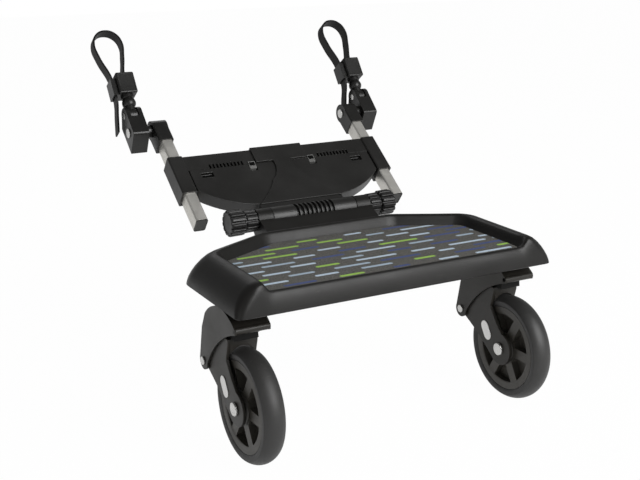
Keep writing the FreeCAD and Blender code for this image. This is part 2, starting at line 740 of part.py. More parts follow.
def make_wheel(side, middle):
    """Plastic wheel, with pockets between its spokes on both faces, and a rubber tyre on two bearings."""
    tread_radius = "wheel_radius"
    rim = f"({tread_radius} - tyre_depth)"
    half = "(hub_width / 2)"
    seat = "(bearing_radius + seat_play)"
    middle_bore = "(axle_radius + slide_play)"
    shoulder = f"({half} - bearing_width)"
    web = "(web_thickness / 2)"
    rim_half = "(rim_width / 2)"
    hub = turned_on_x(f"wheel_hub_{side}", [
        (f"-{half}", seat), (f"-{shoulder}", seat), (f"-{shoulder}", middle_bore), (shoulder, middle_bore),
        (shoulder, seat), (half, seat), (half, "hub_radius"), (web, "hub_radius + hub_flare"),
        (web, f"{rim} - rim_depth"), (rim_half, f"{rim} - rim_depth + rim_taper"), (rim_half, rim),
        (f"-{rim_half}", rim),
        (f"-{rim_half}", f"{rim} - rim_depth + rim_taper"), (f"-{web}", f"{rim} - rim_depth"),
        (f"-{web}", "hub_radius + hub_flare"), (f"-{half}", "hub_radius")])
    low = "(hub_radius + hub_flare + opening_margin)"
    high = f"({rim} - rim_depth - opening_margin)"
    half_share = "(180 / spoke_count)"
    low_half = f"({low} * tan(({half_share}) * 1deg) - spoke_width / 2 / cos(({half_share}) * 1deg))"
    high_half = f"({high} * tan(({half_share}) * 1deg) - spoke_width / 2 / cos(({half_share}) * 1deg))"
    for turn in (-1, 1):
        opening = new_sketch(hub, "YZ_Plane", f"{turn} * web_skin / 2")
        closed_outline(opening, [(f"-{low_half}", low), (low_half, low), (high_half, high, "opening_rise"),
                                 (f"-{high_half}", high)])
        pocket = cut(hub, opening, "web_thickness", reverse=turn > 0)
        around(hub, pocket, "X_Axis", "spoke_count")
    pocket_depth = size(f"{web} - web_skin / 2")

    def pocket_corner(edge):
        return along("x")(edge) and abs(edge.BoundBox.XLength - pocket_depth) < 0.01

    soften(hub, "opening_corner", pocket_corner)
    place(hub, middle, "wheel_y", "wheel_radius")

    wall_top = f"({tread_radius} - tyre_crown)"
    tyre = turned_on_x(f"tyre_{side}", [
        (f"-{rim_half}", f"{rim} + running_play"), (rim_half, f"{rim} + running_play"),
        ("tyre_width / 2", f"{wall_top} - tyre_wall / 2"), ("tyre_width / 2", wall_top, "tyre_crown"),
        ("-tyre_width / 2", wall_top), ("-tyre_width / 2", f"{wall_top} - tyre_wall / 2")])
    place(tyre, middle, "wheel_y", "wheel_radius")

    bearings = []
    for turn in (-1, 1):
        start = f"{middle} + {turn} * ({half} - bearing_width / 2) - bearing_width / 2 + seat_play"
        seat_at = (start, "wheel_y - origin_y", "wheel_radius")
        length = "bearing_width - 2 * seat_play"
        outer = cylinder(f"bearing_{side}", "bearing_radius", length, seat_at, (1, 0, 0))
        bore = cylinder(f"bearing_bore_{side}", "axle_radius + running_play", length, seat_at, (1, 0, 0))
        bearings.append(bored(f"bearing_ring_{side}", outer, bore))
    group(f"wheel_bearings_{side}", bearings)


def make_hinge():
    """The board's hinge bracket with its rod, screws, washers and clamping knobs."""
    lug_inner = "(barrel_length / 2 + lug_gap)"
    lug_outer = f"({lug_inner} + lug_width)"
    bracket = new_body("hinge_bracket")
    wall_top = "(board_z + crest_height - crest_flat)"
    outline = closed_outline(new_sketch(bracket, "YZ_Plane"), [
        (far_wall_y("bracket_foot_z - board_z"), "bracket_foot_z"),
        ("bracket_foot_y", "bracket_foot_z + bracket_foot_rise"),
        ("hinge_y + barrel_radius * 0.72", "hinge_z - barrel_radius * 0.69"), ("hinge_y", "hinge_z"),
        ("hinge_y - barrel_radius * 0.8", "hinge_z + barrel_radius * 0.3"),
        (far_wall_y(f"{wall_top} - board_z"), wall_top)])
    pad(bracket, outline, f"{lug_outer} * 2", symmetric=True)
    lugs = circle(new_sketch(bracket, "YZ_Plane"), "hinge_y", "hinge_z", "barrel_radius")
    pad(bracket, lugs, f"{lug_outer} * 2", symmetric=True)
    gap = circle(new_sketch(bracket, "YZ_Plane"), "hinge_y", "hinge_z", "barrel_radius + barrel_play")
    cut(bracket, gap, f"{lug_inner} * 2", symmetric=True)
    fold_room = rectangle(new_sketch(bracket, "YZ_Plane"), "hinge_y - fold_clearance",
                          "hinge_y + 2 * barrel_radius",
                          "bracket_foot_z - barrel_radius", "hinge_z")
    cut(bracket, fold_room, f"{lug_inner} * 2", symmetric=True)
    bore = circle(new_sketch(bracket, "YZ_Plane"), "hinge_y", "hinge_z", "hinge_rod_radius + running_play")
    cut(bracket, bore, f"{lug_outer} * 4", symmetric=True)
    for side in ("-screw_x", "screw_x"):
        hole = circle(new_sketch(bracket, "XZ_Plane", "-screw_head_y"), side, "screw_z",
                      "screw_radius + running_play")
        cut(bracket, hole, "screw_length + screw_head_height + seat_play")
    place(bracket)

    knob_end = f"({lug_outer} + washer_thickness + knob_inner_length + knob_outer_length)"
    rod_half = f"({knob_end} - hinge_rod_inset)"
    rod = turned_on_x("hinge_rod", [
        (f"-{rod_half}", "0"), (rod_half, "0"), (rod_half, "hinge_rod_radius"),
        (f"-{rod_half}", "hinge_rod_radius")])
    place(rod, "0", "hinge_y", "hinge_z")

    screws = []
    washers = []
    for side, sign in SIDES:
        at = (f"{sign} * screw_x", "screw_head_y - origin_y", "screw_z")
        head = cylinder(f"screw_head_{side}", "screw_head_radius", "screw_head_height", at, (0, 1, 0))
        shank = cylinder(f"screw_shank_{side}", "screw_radius", "screw_length", at, (0, 1, 0))
        screw = doc.addObject("Part::Fuse", f"screw_{side}")
        screw.Base = head
        screw.Tool = shank
        screws.append(screw)
        start = f"{sign} * ({lug_outer} + washer_thickness / 2) - washer_thickness / 2"
        seat_at = (start, "hinge_y - origin_y", "hinge_z")
        disc = cylinder(f"washer_disc_{side}", "washer_radius", "washer_thickness", seat_at, (1, 0, 0))
        bore = cylinder(f"washer_bore_{side}", "hinge_rod_radius + running_play", "washer_thickness",
                        seat_at,
                        (1, 0, 0))
        washers.append(bored(f"washer_{side}", disc, bore))
        make_knob(side, sign, f"({lug_outer} + washer_thickness)", rod_half)
    group("bracket_screws", screws)
    group("hinge_washers", washers)


def make_knob(side, sign, start, rod_half):
    """A two-step fluted knob on the hinge rod's end."""
    step = f"({start} + knob_inner_length)"
    end = f"({step} + knob_outer_length)"
    bore = "(hinge_rod_radius + running_play)"
    profile = [(start, bore), (f"{rod_half} + seat_play", bore), (f"{rod_half} + seat_play", "0"),
               (end, "0"),
               (end, "knob_outer_radius - knob_chamfer"), (f"{end} - knob_chamfer", "knob_outer_radius"),
               (step, "knob_outer_radius"), (step, "knob_inner_radius"), (start, "knob_inner_radius")]
    knob = turned_on_x(f"knob_{side}", [(f"{sign} * ({across})", up) for across, up in profile])
    for low, high, radius in ((start, step, "knob_inner_radius"), (step, end, "knob_outer_radius")):
        flute = circle(new_sketch(knob, "YZ_Plane", f"{sign} * ({low})"), "0", radius, "flute_radius")
        length = f"{high} - {low}"
        pocket = cut(knob, flute, length, reverse=sign > 0)
        around(knob, pocket, "X_Axis", "knob_flutes")
    place(knob, "0", "hinge_y", "hinge_z")


def on_arm(piece, across="0"):
    """Set a piece of the towing arm on the hinge, at the arm's slope."""
    place(piece, across, "hinge_y", "hinge_z", "arm_angle")


def make_centre():
    """The arm's middle: hinge barrel, fan-shaped panel with the slide channel, and its cover."""
    body = new_body("centre_body")
    barrel = circle(new_sketch(body, "YZ_Plane"), "0", "0", "barrel_radius")
    pad(body, barrel, "barrel_length", symmetric=True)
    fan_low = "(fan_top - fan_thickness)"
    root = "(barrel_length / 2)"
    fan = closed_outline(new_sketch(body, "XY_Plane", fan_low), [
        (f"-{root}", "0"), (root, "0"), (root, "fan_root_v", "fan_rise"), ("fan_edge", "fan_corner_v"),
        ("fan_edge", "fan_far_v"), ("-fan_edge", "fan_far_v"), ("-fan_edge", "fan_corner_v", "fan_rise"),
        (f"-{root}", "fan_root_v")])
    pad(body, fan, "fan_thickness")
    channel = rectangle(new_sketch(body, "XY_Plane", fan_low), "-channel_half_length",
                        "channel_half_length",
                        "fan_far_v - fan_wall", "fan_far_v + slide_play + strip_length")
    pad(body, channel, "channel_floor")
    for sign in (-1, 1):
        hollow = new_sketch(body, "XY_Plane", fan_low)
        inner = f"{sign} * (cover_waist_width / 2)"
        outer = f"{sign} * (fan_edge - fan_wall * 4)"
        corners = [(inner, "fan_root_v + fan_wall * 3"),
                   (f"{sign} * ({root} + fan_wall)", "fan_root_v + fan_wall * 3"),
                   (outer, "fan_corner_v + fan_wall"), (outer, "button_v - button_length - fan_wall"),
                   (inner, "button_v - button_length - fan_wall")]
        closed_outline(hollow, corners)
        cut(body, hollow, "fan_thickness - fan_wall", reverse=True)
    bore = circle(new_sketch(body, "YZ_Plane"), "0", "0", "hinge_rod_radius + running_play")
    cut(body, bore, "barrel_length * 2", symmetric=True)
    slot_start = "((barrel_slots - 1) * barrel_slot_pitch / 2)"
    for index in range(int(size("barrel_slots"))):
        slot = new_sketch(body, "YZ_Plane", f"{index} * barrel_slot_pitch - {slot_start}")
        outside = "(barrel_radius + barrel_slot_depth)"
        inside = "(barrel_radius - barrel_slot_depth)"
        closed_outline(slot, [
            (f"-{outside}", "0"), (f"-{inside}", "0", f"-{inside} * 0.999"), (inside, "0"), (outside, "0"),
            (outside, outside), (f"-{outside}", outside)])
        cut(body, slot, "barrel_slot_width", symmetric=True)
    for sign in (-1, 1):
        pocket = rectangle(
            new_sketch(body, "XY_Plane", "fan_top"), f"{sign} * pawl_u - pawl_width / 2 - slide_play",
            f"{sign} * pawl_u + pawl_width / 2 + slide_play",
            "fan_far_v - pawl_length - pawl_travel - 2 * slide_play", "fan_far_v + slide_play")
        cut(body, pocket, "pawl_depth + slide_play")
        pocket = rectangle(
            new_sketch(body, "XY_Plane", "fan_top"), f"{sign} * button_u - button_width / 2 - slide_play",
            f"{sign} * button_u + button_width / 2 + slide_play",
            "button_v - button_length / 2 - slide_play",
            "button_v + button_length / 2 + slide_play")
        cut(body, pocket, "button_drop + button_depth + button_travel + slide_play")
    on_arm(body)

    cover = new_body("centre_cover")
    half_cap = "(cover_cap_width / 2)"
    far = "(fan_far_v + 2 * slide_play + strip_length)"
    outline = closed_outline(new_sketch(cover, "XY_Plane", "fan_top"), [
        ("-cover_root_width / 2", "cover_root_v"),
        ("cover_root_width / 2", "cover_root_v", "-cover_hollow / 2"),
        ("cover_waist_width / 2", "cover_waist_v", "-cover_hollow"),
        ("cover_neck_width / 2", "cover_neck_v"),
        (half_cap, "cover_neck_v"), (half_cap, f"{far} + cover_far_lip"),
        (f"-{half_cap}", f"{far} + cover_far_lip"),
        (f"-{half_cap}", "cover_neck_v"), ("-cover_neck_width / 2", "cover_neck_v", "-cover_hollow"),
        ("-cover_waist_width / 2", "cover_waist_v", "-cover_hollow / 2")])
    pad(cover, outline, "cover_thickness")
    lip = rectangle(new_sketch(cover, "XY_Plane", "fan_top"), f"-{half_cap}", half_cap, far,
                    f"{far} + cover_far_lip")
    pad(cover, lip, "fan_thickness", reverse=True)
    on_arm(cover)


def make_slide(side, sign):
    """The part of the arm that slides out sideways, with the sleeve that holds the tube."""
    slide = new_body(f"slide_arm_{side}")
    inner = f"{sign} * sleeve_inner_u"
    outer = f"{sign} * (sleeve_inner_u + sleeve_width)"
    near = "(fan_far_v + slide_play)"
    far = f"({near} + strip_length)"
    sleeve = rectangle(new_sketch(slide, "XY_Plane", "sleeve_top"), inner, outer, "sleeve_near_v", far)
    pad(slide, sleeve, "sleeve_height", reverse=True)
    soften(slide, "sleeve_round", along("y"))
    strip_top = "(fan_top - slide_play)"
    strip_height = "(fan_thickness - channel_floor - 2 * slide_play)"
    strip = rectangle(new_sketch(slide, "XY_Plane", strip_top), f"{sign} * strip_start",
                      f"{sign} * (sleeve_inner_u + tube_wall)", near, far)
    pad(slide, strip, strip_height, reverse=True)
    for index in range(int(size("rack_slots"))):
        low = f"{sign} * (rack_start + {index} * rack_pitch)"
        high = f"{sign} * (rack_start + {index} * rack_pitch + rack_slot_width)"
        slot = rectangle(new_sketch(slide, "XY_Plane", strip_top), low, high, f"{near} - slide_play",
                         f"{near} + rack_slot_length")
        cut(slide, slot, "rack_slot_depth")
    hole = rectangle(
        new_sketch(slide, "XZ_Plane", "-sleeve_near_v"), f"{sign} * tube_u - tube_width / 2 - slide_play",
        f"{sign} * tube_u + tube_width / 2 + slide_play", "tube_w - tube_height / 2 - slide_play",
        "tube_w + tube_height / 2 + slide_play")
    cut(slide, hole, "fan_far_v * 4", symmetric=True)
    on_arm(slide)

    pawl = new_body(f"rack_pawl_{side}")
    tip = "(fan_far_v - slide_play)"
    block = rectangle(new_sketch(pawl, "XY_Plane", "fan_top"), f"{sign} * pawl_u - pawl_width / 2",
                      f"{sign} * pawl_u + pawl_width / 2", f"{tip} - pawl_length", tip)
    pad(pawl, block, "pawl_depth", reverse=True)
    flag = rectangle(new_sketch(pawl, "XY_Plane", "fan_top"), f"{sign} * pawl_u - pawl_width / 2",
                     f"{sign} * pawl_u + pawl_width / 2", f"{tip} - pawl_length / 2", f"{tip} + pawl_flag")
    pad(pawl, flag, "pawl_flag_height")
    on_arm(pawl)

    button = new_body(f"slide_button_{side}")
    plate = rectangle(new_sketch(button, "XY_Plane", "fan_top - button_drop"),
                      f"{sign} * button_u - button_width / 2",
                      f"{sign} * button_u + button_width / 2", "button_v - button_length / 2",
                      "button_v + button_length / 2")
    pad(button, plate, "button_depth", reverse=True)
    on_arm(button)


def tube_section(sketch, across, grow):
    """The square tube's outline seen along it, larger by grow on each side."""
    return rectangle(sketch, f"{across} - tube_width / 2 - ({grow})",
                     f"{across} + tube_width / 2 + ({grow})",
                     f"tube_w - tube_height / 2 - ({grow})", f"tube_w + tube_height / 2 + ({grow})")


def make_tube(side, sign):
    """The square tube, its end plug, the cap on its upper end and the cap's cross pin."""
    middle = f"{sign} * tube_u"
    tube = new_body(f"arm_tube_{side}")
    pad(tube, tube_section(new_sketch(tube, "XZ_Plane", "-tube_near_v"), middle, "0"),
        "tube_far_v - tube_near_v",
        reverse=True)
    soften(tube, "tube_round", along("y"))
    cut(tube, tube_section(new_sketch(tube, "XZ_Plane", "-tube_near_v"), middle, "-tube_wall"),
        "tube_far_v * 3",
        symmetric=True)
    on_arm(tube)

    plug = new_body(f"tube_plug_{side}")
    pad(plug, tube_section(new_sketch(plug, "XZ_Plane", "-tube_near_v"), middle, "0"), "plug_head")
    soften(plug, "tube_round", along("y"))
    pad(plug, tube_section(new_sketch(plug, "XZ_Plane", "-tube_near_v"), middle, "-tube_wall - seat_play"),
        "plug_depth", reverse=True)
    on_arm(plug)

    cap = new_body(f"tube_cap_{side}")
    half_height = "(sleeve_height / 2)"
    cap_middle = f"(sleeve_top - {half_height})"
    inner = f"{sign} * sleeve_inner_u"
    outline = rectangle(new_sketch(cap, "YZ_Plane", inner), "cap_near_v", "link_pin_v",
                        f"{cap_middle} - {half_height}",
                        f"{cap_middle} + {half_height}")
    pad(cap, outline, "sleeve_width", reverse=sign < 0)
    soften(cap, "cap_wall_round", along("y"))
    nose = circle(new_sketch(cap, "YZ_Plane", inner), "link_pin_v", cap_middle, half_height)
    pad(cap, nose, "sleeve_width", reverse=sign < 0)
    socket = tube_section(new_sketch(cap, "XZ_Plane", "-cap_near_v"), middle, "seat_play")
    cut(cap, socket, "2 * (tube_far_v - cap_near_v + seat_play)", symmetric=True)
    bore = circle(new_sketch(cap, "YZ_Plane", inner), "link_pin_v", cap_middle,
                  "link_pin_radius + running_play")
    cut(cap, bore, "sleeve_width * 4", symmetric=True)
    on_arm(cap)

    link_outer = "(link_u + link_width / 2)"
    profile = [("sleeve_inner_u", "0"), (f"{link_outer} + link_pin_head_height", "0"),
               (f"{link_outer} + link_pin_head_height", "link_pin_head_radius"),
               (f"{link_outer} + seat_play", "link_pin_head_radius"),
               (f"{link_outer} + seat_play", "link_pin_radius"),
               ("sleeve_inner_u", "link_pin_radius"), ("sleeve_inner_u", "link_pin_head_radius"),
               ("sleeve_inner_u - link_pin_head_height", "link_pin_head_radius"),
               ("sleeve_inner_u - link_pin_head_height", "0")]
    pin = turned_on_x(f"link_pin_{side}", [(f"{sign} * ({across})", up) for across, up in profile])
    on_arm_at(pin, "0", "link_pin_v", cap_middle)


def on_arm_at(piece, across, up_arm, off_arm, tilt="arm_angle"):
    """Set a piece at a point of the arm's own frame."""
    slope = math.radians(size("arm_angle"))
    reach = size(up_arm)
    off = size(off_arm)
    turn = FreeCAD.Rotation(FreeCAD.Vector(1, 0, 0), size(tilt))
    spot = FreeCAD.Vector(size(across),
                          size("hinge_y - origin_y") + reach * math.cos(slope) - off * math.sin(slope),
                          size("hinge_z") + reach * math.sin(slope) + off * math.cos(slope))
    piece.Placement = FreeCAD.Placement(spot, turn)


def make_connector(side, sign):
    """The link beside the cap, the buckle on its knuckle and the strap that ties to the stroller."""
    middle = f"({sign} * link_u)"
    cap_middle = "(sleeve_top - sleeve_height / 2)"
    link = new_body(f"link_block_{side}")
    outline = closed_outline(new_sketch(link, "YZ_Plane", middle), [
        (LINK_NEAR_V, "link_bottom_w"), (f"{KNUCKLE_V} - link_toe_inset", "link_bottom_w + link_toe_rise"),
        (f"{KNUCKLE_V} + knuckle_ear_radius * 0.6", "knuckle_w - knuckle_ear_radius * 0.8"),
        (KNUCKLE_V, "knuckle_w"),
        (f"{KNUCKLE_V} - knuckle_ear_radius * 0.3", "knuckle_w + knuckle_ear_radius * 0.95"),
        (f"{LINK_NEAR_V} + link_top_inset", "sleeve_top")])
    pad(link, outline, "link_width", symmetric=True)
    ears = circle(new_sketch(link, "YZ_Plane", middle), KNUCKLE_V, "knuckle_w", "knuckle_ear_radius")
    pad(link, ears, "link_width", symmetric=True)
    corner = size(f"{LINK_NEAR_V} + link_top_inset")
    soften(link, "link_round",
           lambda edge: along("x")(edge) and abs(edge.BoundBox.Center.y - corner) < 0.01)
    slot = rectangle(new_sketch(link, "YZ_Plane", middle), f"{KNUCKLE_V} - eye_radius - 2 * slide_play",
                     f"{KNUCKLE_V} + 2 * knuckle_ear_radius", "knuckle_w - 2 * knuckle_ear_radius",
                     "knuckle_w + 2 * knuckle_ear_radius")
    cut(link, slot, "eye_width + 2 * slide_play", symmetric=True)
    boss_start = f"{sign} * (sleeve_inner_u + sleeve_width + slide_play)"
    boss = circle(new_sketch(link, "YZ_Plane", boss_start), "link_pin_v", cap_middle, "link_boss_radius")
    pad(link, boss, "link_u - sleeve_inner_u - sleeve_width - slide_play", reverse=sign < 0)
    for across, up, radius in (("link_pin_v", cap_middle, "link_pin_radius"),
                               (KNUCKLE_V, "knuckle_w", "knuckle_pin_radius")):
        bore = circle(new_sketch(link, "YZ_Plane", middle), across, up, f"{radius} + running_play")
        cut(link, bore, "link_width * 4", symmetric=True)
    on_arm(link)

    pin = stepped_pin(f"knuckle_pin_{side}", "knuckle_pin_radius", "(link_width / 2)",
                      "(knuckle_pin_radius + knuckle_head_step)", "knuckle_pin_head")
    on_arm_at(pin, middle, KNUCKLE_V, "knuckle_w")
    make_buckle(side, middle)
    make_strap(side, middle)


def make_buckle(side, middle):
    """The buckle: an eye on the knuckle, a round neck, the block and the strap's keeper at its side."""
    buckle = new_body(f"buckle_{side}")
    half = "(buckle_width / 2)"
    deep = "(buckle_depth / 2)"
    block = rectangle(new_sketch(buckle, "XY_Plane", "buckle_base"), f"-{half}", half, f"-{deep}", deep)
    pad(buckle, block, "buckle_length")
    soften(buckle, "buckle_round", lambda edge: True)
    keeper = rectangle(new_sketch(buckle, "XY_Plane", "buckle_base"), f"-{half} - keeper_width",
                       f"-{half} + buckle_bite",
                       "-keeper_back", deep)
    pad(buckle, keeper, "buckle_length - keeper_top_drop")
    stem = circle(new_sketch(buckle, "XY_Plane"), "0", "0", "neck_radius")
    pad(buckle, stem, "buckle_base + buckle_bite")
    eye = circle(new_sketch(buckle, "YZ_Plane"), "0", "0", "eye_radius")
    pad(buckle, eye, "eye_width", symmetric=True)
    for turn in (-1, 1):
        face = f"{turn} * eye_width / 2"
        trim = rectangle(new_sketch(buckle, "YZ_Plane", face), "-2 * eye_radius", "2 * eye_radius",
                         "-2 * eye_radius", "knuckle_ear_radius + 2 * slide_play")
        cut(buckle, trim, "neck_radius * 2", reverse=turn > 0)
    hole = circle(new_sketch(buckle, "YZ_Plane"), "0", "0", "knuckle_pin_radius + running_play")
    cut(buckle, hole, "eye_width * 4", symmetric=True)
    low = "(strap_back - strap_width / 2 - slide_play)"
    high = "(strap_back + strap_width / 2 + slide_play)"
    mouth = rectangle(
        new_sketch(buckle, "XY_Plane", "buckle_base + buckle_length"),
        "strap_near_x - strap_thickness / 2 - slide_play",
        "strap_near_x + strap_thickness / 2 + slide_play", low, high)
    cut(buckle, mouth, "strap_root_depth + slide_play")
    side_way = "(buckle_width / 2 + keeper_width / 2)"
    passage = rectangle(
        new_sketch(buckle, "XY_Plane", "buckle_base"), f"-{side_way} - strap_thickness / 2 - slide_play",
        f"-{side_way} + strap_thickness / 2 + slide_play", low, high)
    cut(buckle, passage, "buckle_length * 4", symmetric=True)
    on_arm_at(buckle, middle, KNUCKLE_V, "knuckle_w", "buckle_angle - 90")


def tangent_point(start, centre, radius, turn):
    """Where a line from start touches a circle, on the side that turn names."""
    away = start - centre
    angle = math.atan2(away.z, away.x) + turn * math.acos(radius / away.Length)
    return centre + FreeCAD.Vector(math.cos(angle), 0, math.sin(angle)) * radius


def make_strap(side, middle):
    """The strap: a band from the buckle's mouth, round a pear-shaped loop and down through the keeper."""
    strap = keep(doc.addObject("Part::Feature", f"strap_{side}"), f"strap_{side}")
    top = size("buckle_base + buckle_length")
    side_way = -size("buckle_width / 2 + keeper_width / 2")
    keeper_top = top - size("keeper_top_drop")
    keeper_low = size("buckle_base")
    half = size("strap_thickness / 2")
    near_root = FreeCAD.Vector(size("strap_near_x"), 0, top - size("strap_root_depth"))
    near_foot = FreeCAD.Vector(size("strap_near_x"), 0, top + half)
    far_foot = FreeCAD.Vector(side_way, 0, keeper_top + half)
    tail_turn = 90 - size("buckle_angle")
    tail_drop = size("strap_width") * math.sin(math.radians(tail_turn))
    far_root = FreeCAD.Vector(side_way, 0, keeper_low - tail_drop - 2 * half)
    centre = FreeCAD.Vector(size("strap_loop_x"), 0, top + size("strap_loop_rise"))

    def face(radius, near_shift, far_shift):
        """One face of the band, shifted outward from its middle line."""
        shift_near = FreeCAD.Vector(near_shift, 0, 0)
        shift_far = FreeCAD.Vector(far_shift, 0, 0)
        near_touch = tangent_point(near_foot + shift_near, centre, radius, 1)
        far_touch = tangent_point(far_foot + shift_far, centre, radius, -1)
        crown = centre + FreeCAD.Vector(0, 0, radius)
        return [Part.LineSegment(near_root + shift_near, near_foot + shift_near),
                Part.LineSegment(near_foot + shift_near, near_touch),
                Part.Arc(near_touch, crown, far_touch),
                Part.LineSegment(far_touch, far_foot + shift_far),
                Part.LineSegment(far_foot + shift_far, far_root + shift_far)]

    radius = size("strap_loop_radius")
    outer = face(radius + half, half, -half)
    inner = face(radius - half, -half, half)
    ends = [Part.LineSegment(near_root + FreeCAD.Vector(-half, 0, 0),
                             near_root + FreeCAD.Vector(half, 0, 0)),
            Part.LineSegment(far_root + FreeCAD.Vector(-half, 0, 0), far_root + FreeCAD.Vector(half, 0, 0))]
    outline = Part.Wire(Part.__sortEdges__([curve.toShape() for curve in outer + inner + ends]))
    width = size("strap_width")
    low = size("strap_back") - width / 2
    band = Part.Face(outline).extrude(FreeCAD.Vector(0, width, 0))
    band.translate(FreeCAD.Vector(0, low, 0))
    tail = Part.makeBox(2 * half, width, size("strap_tail_length"))
    tail.translate(FreeCAD.Vector(side_way - half, low, -size("strap_tail_length")))
    tail.rotate(FreeCAD.Vector(0, low, 0), FreeCAD.Vector(1, 0, 0), tail_turn)
    tail.translate(FreeCAD.Vector(0, 0, far_root.z + half))
    strap.Shape = band.fuse(tail).removeSplitter()
    on_arm_at(strap, middle, KNUCKLE_V, "knuckle_w", "buckle_angle - 90")


def check_and_export():
    """See that every object is sound, then write one file for each sub-part."""
    doc.recompute()
    for thing in doc.Objects:
        if "Invalid" in thing.State or "Error" in thing.State:
            raise RuntimeError(f"{thing.Label} is not sound: {thing.State}")
    os.makedirs("parts", exist_ok=True)
    whole = FreeCAD.BoundBox()
    for thing in subparts:
        if thing.Shape.isNull() or not thing.Shape.isValid():
            raise RuntimeError(f"{thing.Label} has no valid shape")
        whole.add(thing.Shape.BoundBox)
    for thing in subparts:
        thing.Shape.exportStep(f"parts/{thing.Label}.step")
    print(f"{len(subparts)} sub-parts, box {whole}")


make_board_tray()
make_grip_mat()
for side_name, side_sign in SIDES:
    make_caster(side_name, side_sign)
make_hinge()
make_centre()
for side_name, side_sign in SIDES:
    make_slide(side_name, side_sign)
    make_tube(side_name, side_sign)
    make_connector(side_name, side_sign)
check_and_export()
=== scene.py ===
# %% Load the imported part
import json
import math

import bmesh
import bpy
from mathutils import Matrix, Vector


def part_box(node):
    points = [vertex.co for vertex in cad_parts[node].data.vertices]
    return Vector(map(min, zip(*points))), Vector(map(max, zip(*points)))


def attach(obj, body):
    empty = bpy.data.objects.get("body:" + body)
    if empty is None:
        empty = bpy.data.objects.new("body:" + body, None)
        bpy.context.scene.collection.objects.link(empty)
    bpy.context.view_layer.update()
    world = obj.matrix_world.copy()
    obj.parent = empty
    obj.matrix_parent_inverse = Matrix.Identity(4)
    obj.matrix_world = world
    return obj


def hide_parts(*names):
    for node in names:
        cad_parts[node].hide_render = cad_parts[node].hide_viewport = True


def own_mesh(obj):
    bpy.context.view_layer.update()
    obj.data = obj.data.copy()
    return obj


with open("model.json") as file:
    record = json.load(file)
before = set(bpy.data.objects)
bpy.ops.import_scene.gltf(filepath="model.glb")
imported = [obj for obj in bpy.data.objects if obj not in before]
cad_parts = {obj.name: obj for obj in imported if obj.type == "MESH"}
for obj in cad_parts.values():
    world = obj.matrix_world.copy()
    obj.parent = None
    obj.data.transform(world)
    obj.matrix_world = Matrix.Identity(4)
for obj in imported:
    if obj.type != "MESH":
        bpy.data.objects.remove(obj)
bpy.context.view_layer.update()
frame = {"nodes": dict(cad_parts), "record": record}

RECORD = frame["record"]
BODY_OF = {node: body for body, nodes in RECORD["behaviour"]["bodies"].items() for node in nodes}
SLOT_OF = {part["node"]: part["material_slot"] for part in RECORD["subparts"]}
SIDES = ("left", "right")
SIGN = {"left": -1, "right": 1}
MM = 0.001

# %% [markdown]
# The camera comes first. The picture was taken from the board's rear left corner, a little above it. Its
# place was worked out from the board's outline and the two wheels, so the lens and the angle follow the
# photograph and need no later nudging.

# %% Camera
CAMERA_PLACE = (-0.6176, -1.1252, 0.5417)
CAMERA_TILT = 74.0
CAMERA_TURN = -29.21
CAMERA_LENS = 60.97

bpy.ops.object.select_all(action="DESELECT")
bpy.ops.object.camera_add(
    location=CAMERA_PLACE, rotation=(math.radians(CAMERA_TILT), 0, math.radians(CAMERA_TURN)))
camera = bpy.context.object
camera.name = "camera"
camera.data.lens = CAMERA_LENS
camera.data.clip_start = 0.01
bpy.context.scene.camera = camera
bpy.context.scene.view_settings.view_transform = "Standard"
print("camera lens", camera.data.lens)

# %% [markdown]
# Materials and the world are trees of nodes. Three helpers keep the cells below short: one adds a node and
# fills its inputs, one does a sum, and one starts a material from nothing.

# %% Helpers for node trees
def new_node(tree, kind, settings=None, inputs=None):
    """Add a node, set its settings, and fill its inputs with values or with other nodes' outputs."""
    node = tree.nodes.new(kind)
    for name, value in (settings or {}).items():
        setattr(node, name, value)
    for key, value in (inputs or {}).items():
        if isinstance(value, bpy.types.NodeSocket):
            tree.links.new(value, node.inputs[key])
        else:
            node.inputs[key].default_value = value
    return node


def calculate(tree, operation, *values):
    """A Math node's result."""
    node = new_node(tree, "ShaderNodeMath", {"operation": operation}, dict(enumerate(values)))
    return node.outputs[0]


def empty_material(name):
    """A material with no nodes but its output."""
    material = bpy.data.materials.new(name)
    material.use_nodes = True
    material.node_tree.nodes.clear()
    output = new_node(material.node_tree, "ShaderNodeOutputMaterial")
    return material, material.node_tree, output


print("helpers", [helper.__name__ for helper in (new_node, calculate, empty_material)])

# %% [markdown]
# The picture has the flat white ground of a product photograph. A real white floor would need so much
# light that the black plastic turned grey. So the floor is only shown white to the camera and, a little
# less, in mirrors, while the object itself is lit at a plain level. The floor still takes a shadow.

# %% Floor
FLOOR_SIZE = 12.0
FLOOR_COLOUR = (0.86, 0.86, 0.86, 1)
FLOOR_SHOWN_WHITE = 0.985
FLOOR_MIRRORED = 0.7
WHITE = (1, 1, 1, 1)


def shown_directly(tree):
    """1 where the camera or a pane looks at a surface, less in a mirror, 0 where it only lights others."""
    path = new_node(tree, "ShaderNodeLightPath")
    mirrored = calculate(tree, "MULTIPLY", path.outputs["Is Glossy Ray"], FLOOR_MIRRORED)
    seen = calculate(tree, "MAXIMUM", path.outputs["Is Camera Ray"], mirrored)
    return calculate(tree, "MAXIMUM", seen, path.outputs["Is Transmission Ray"])


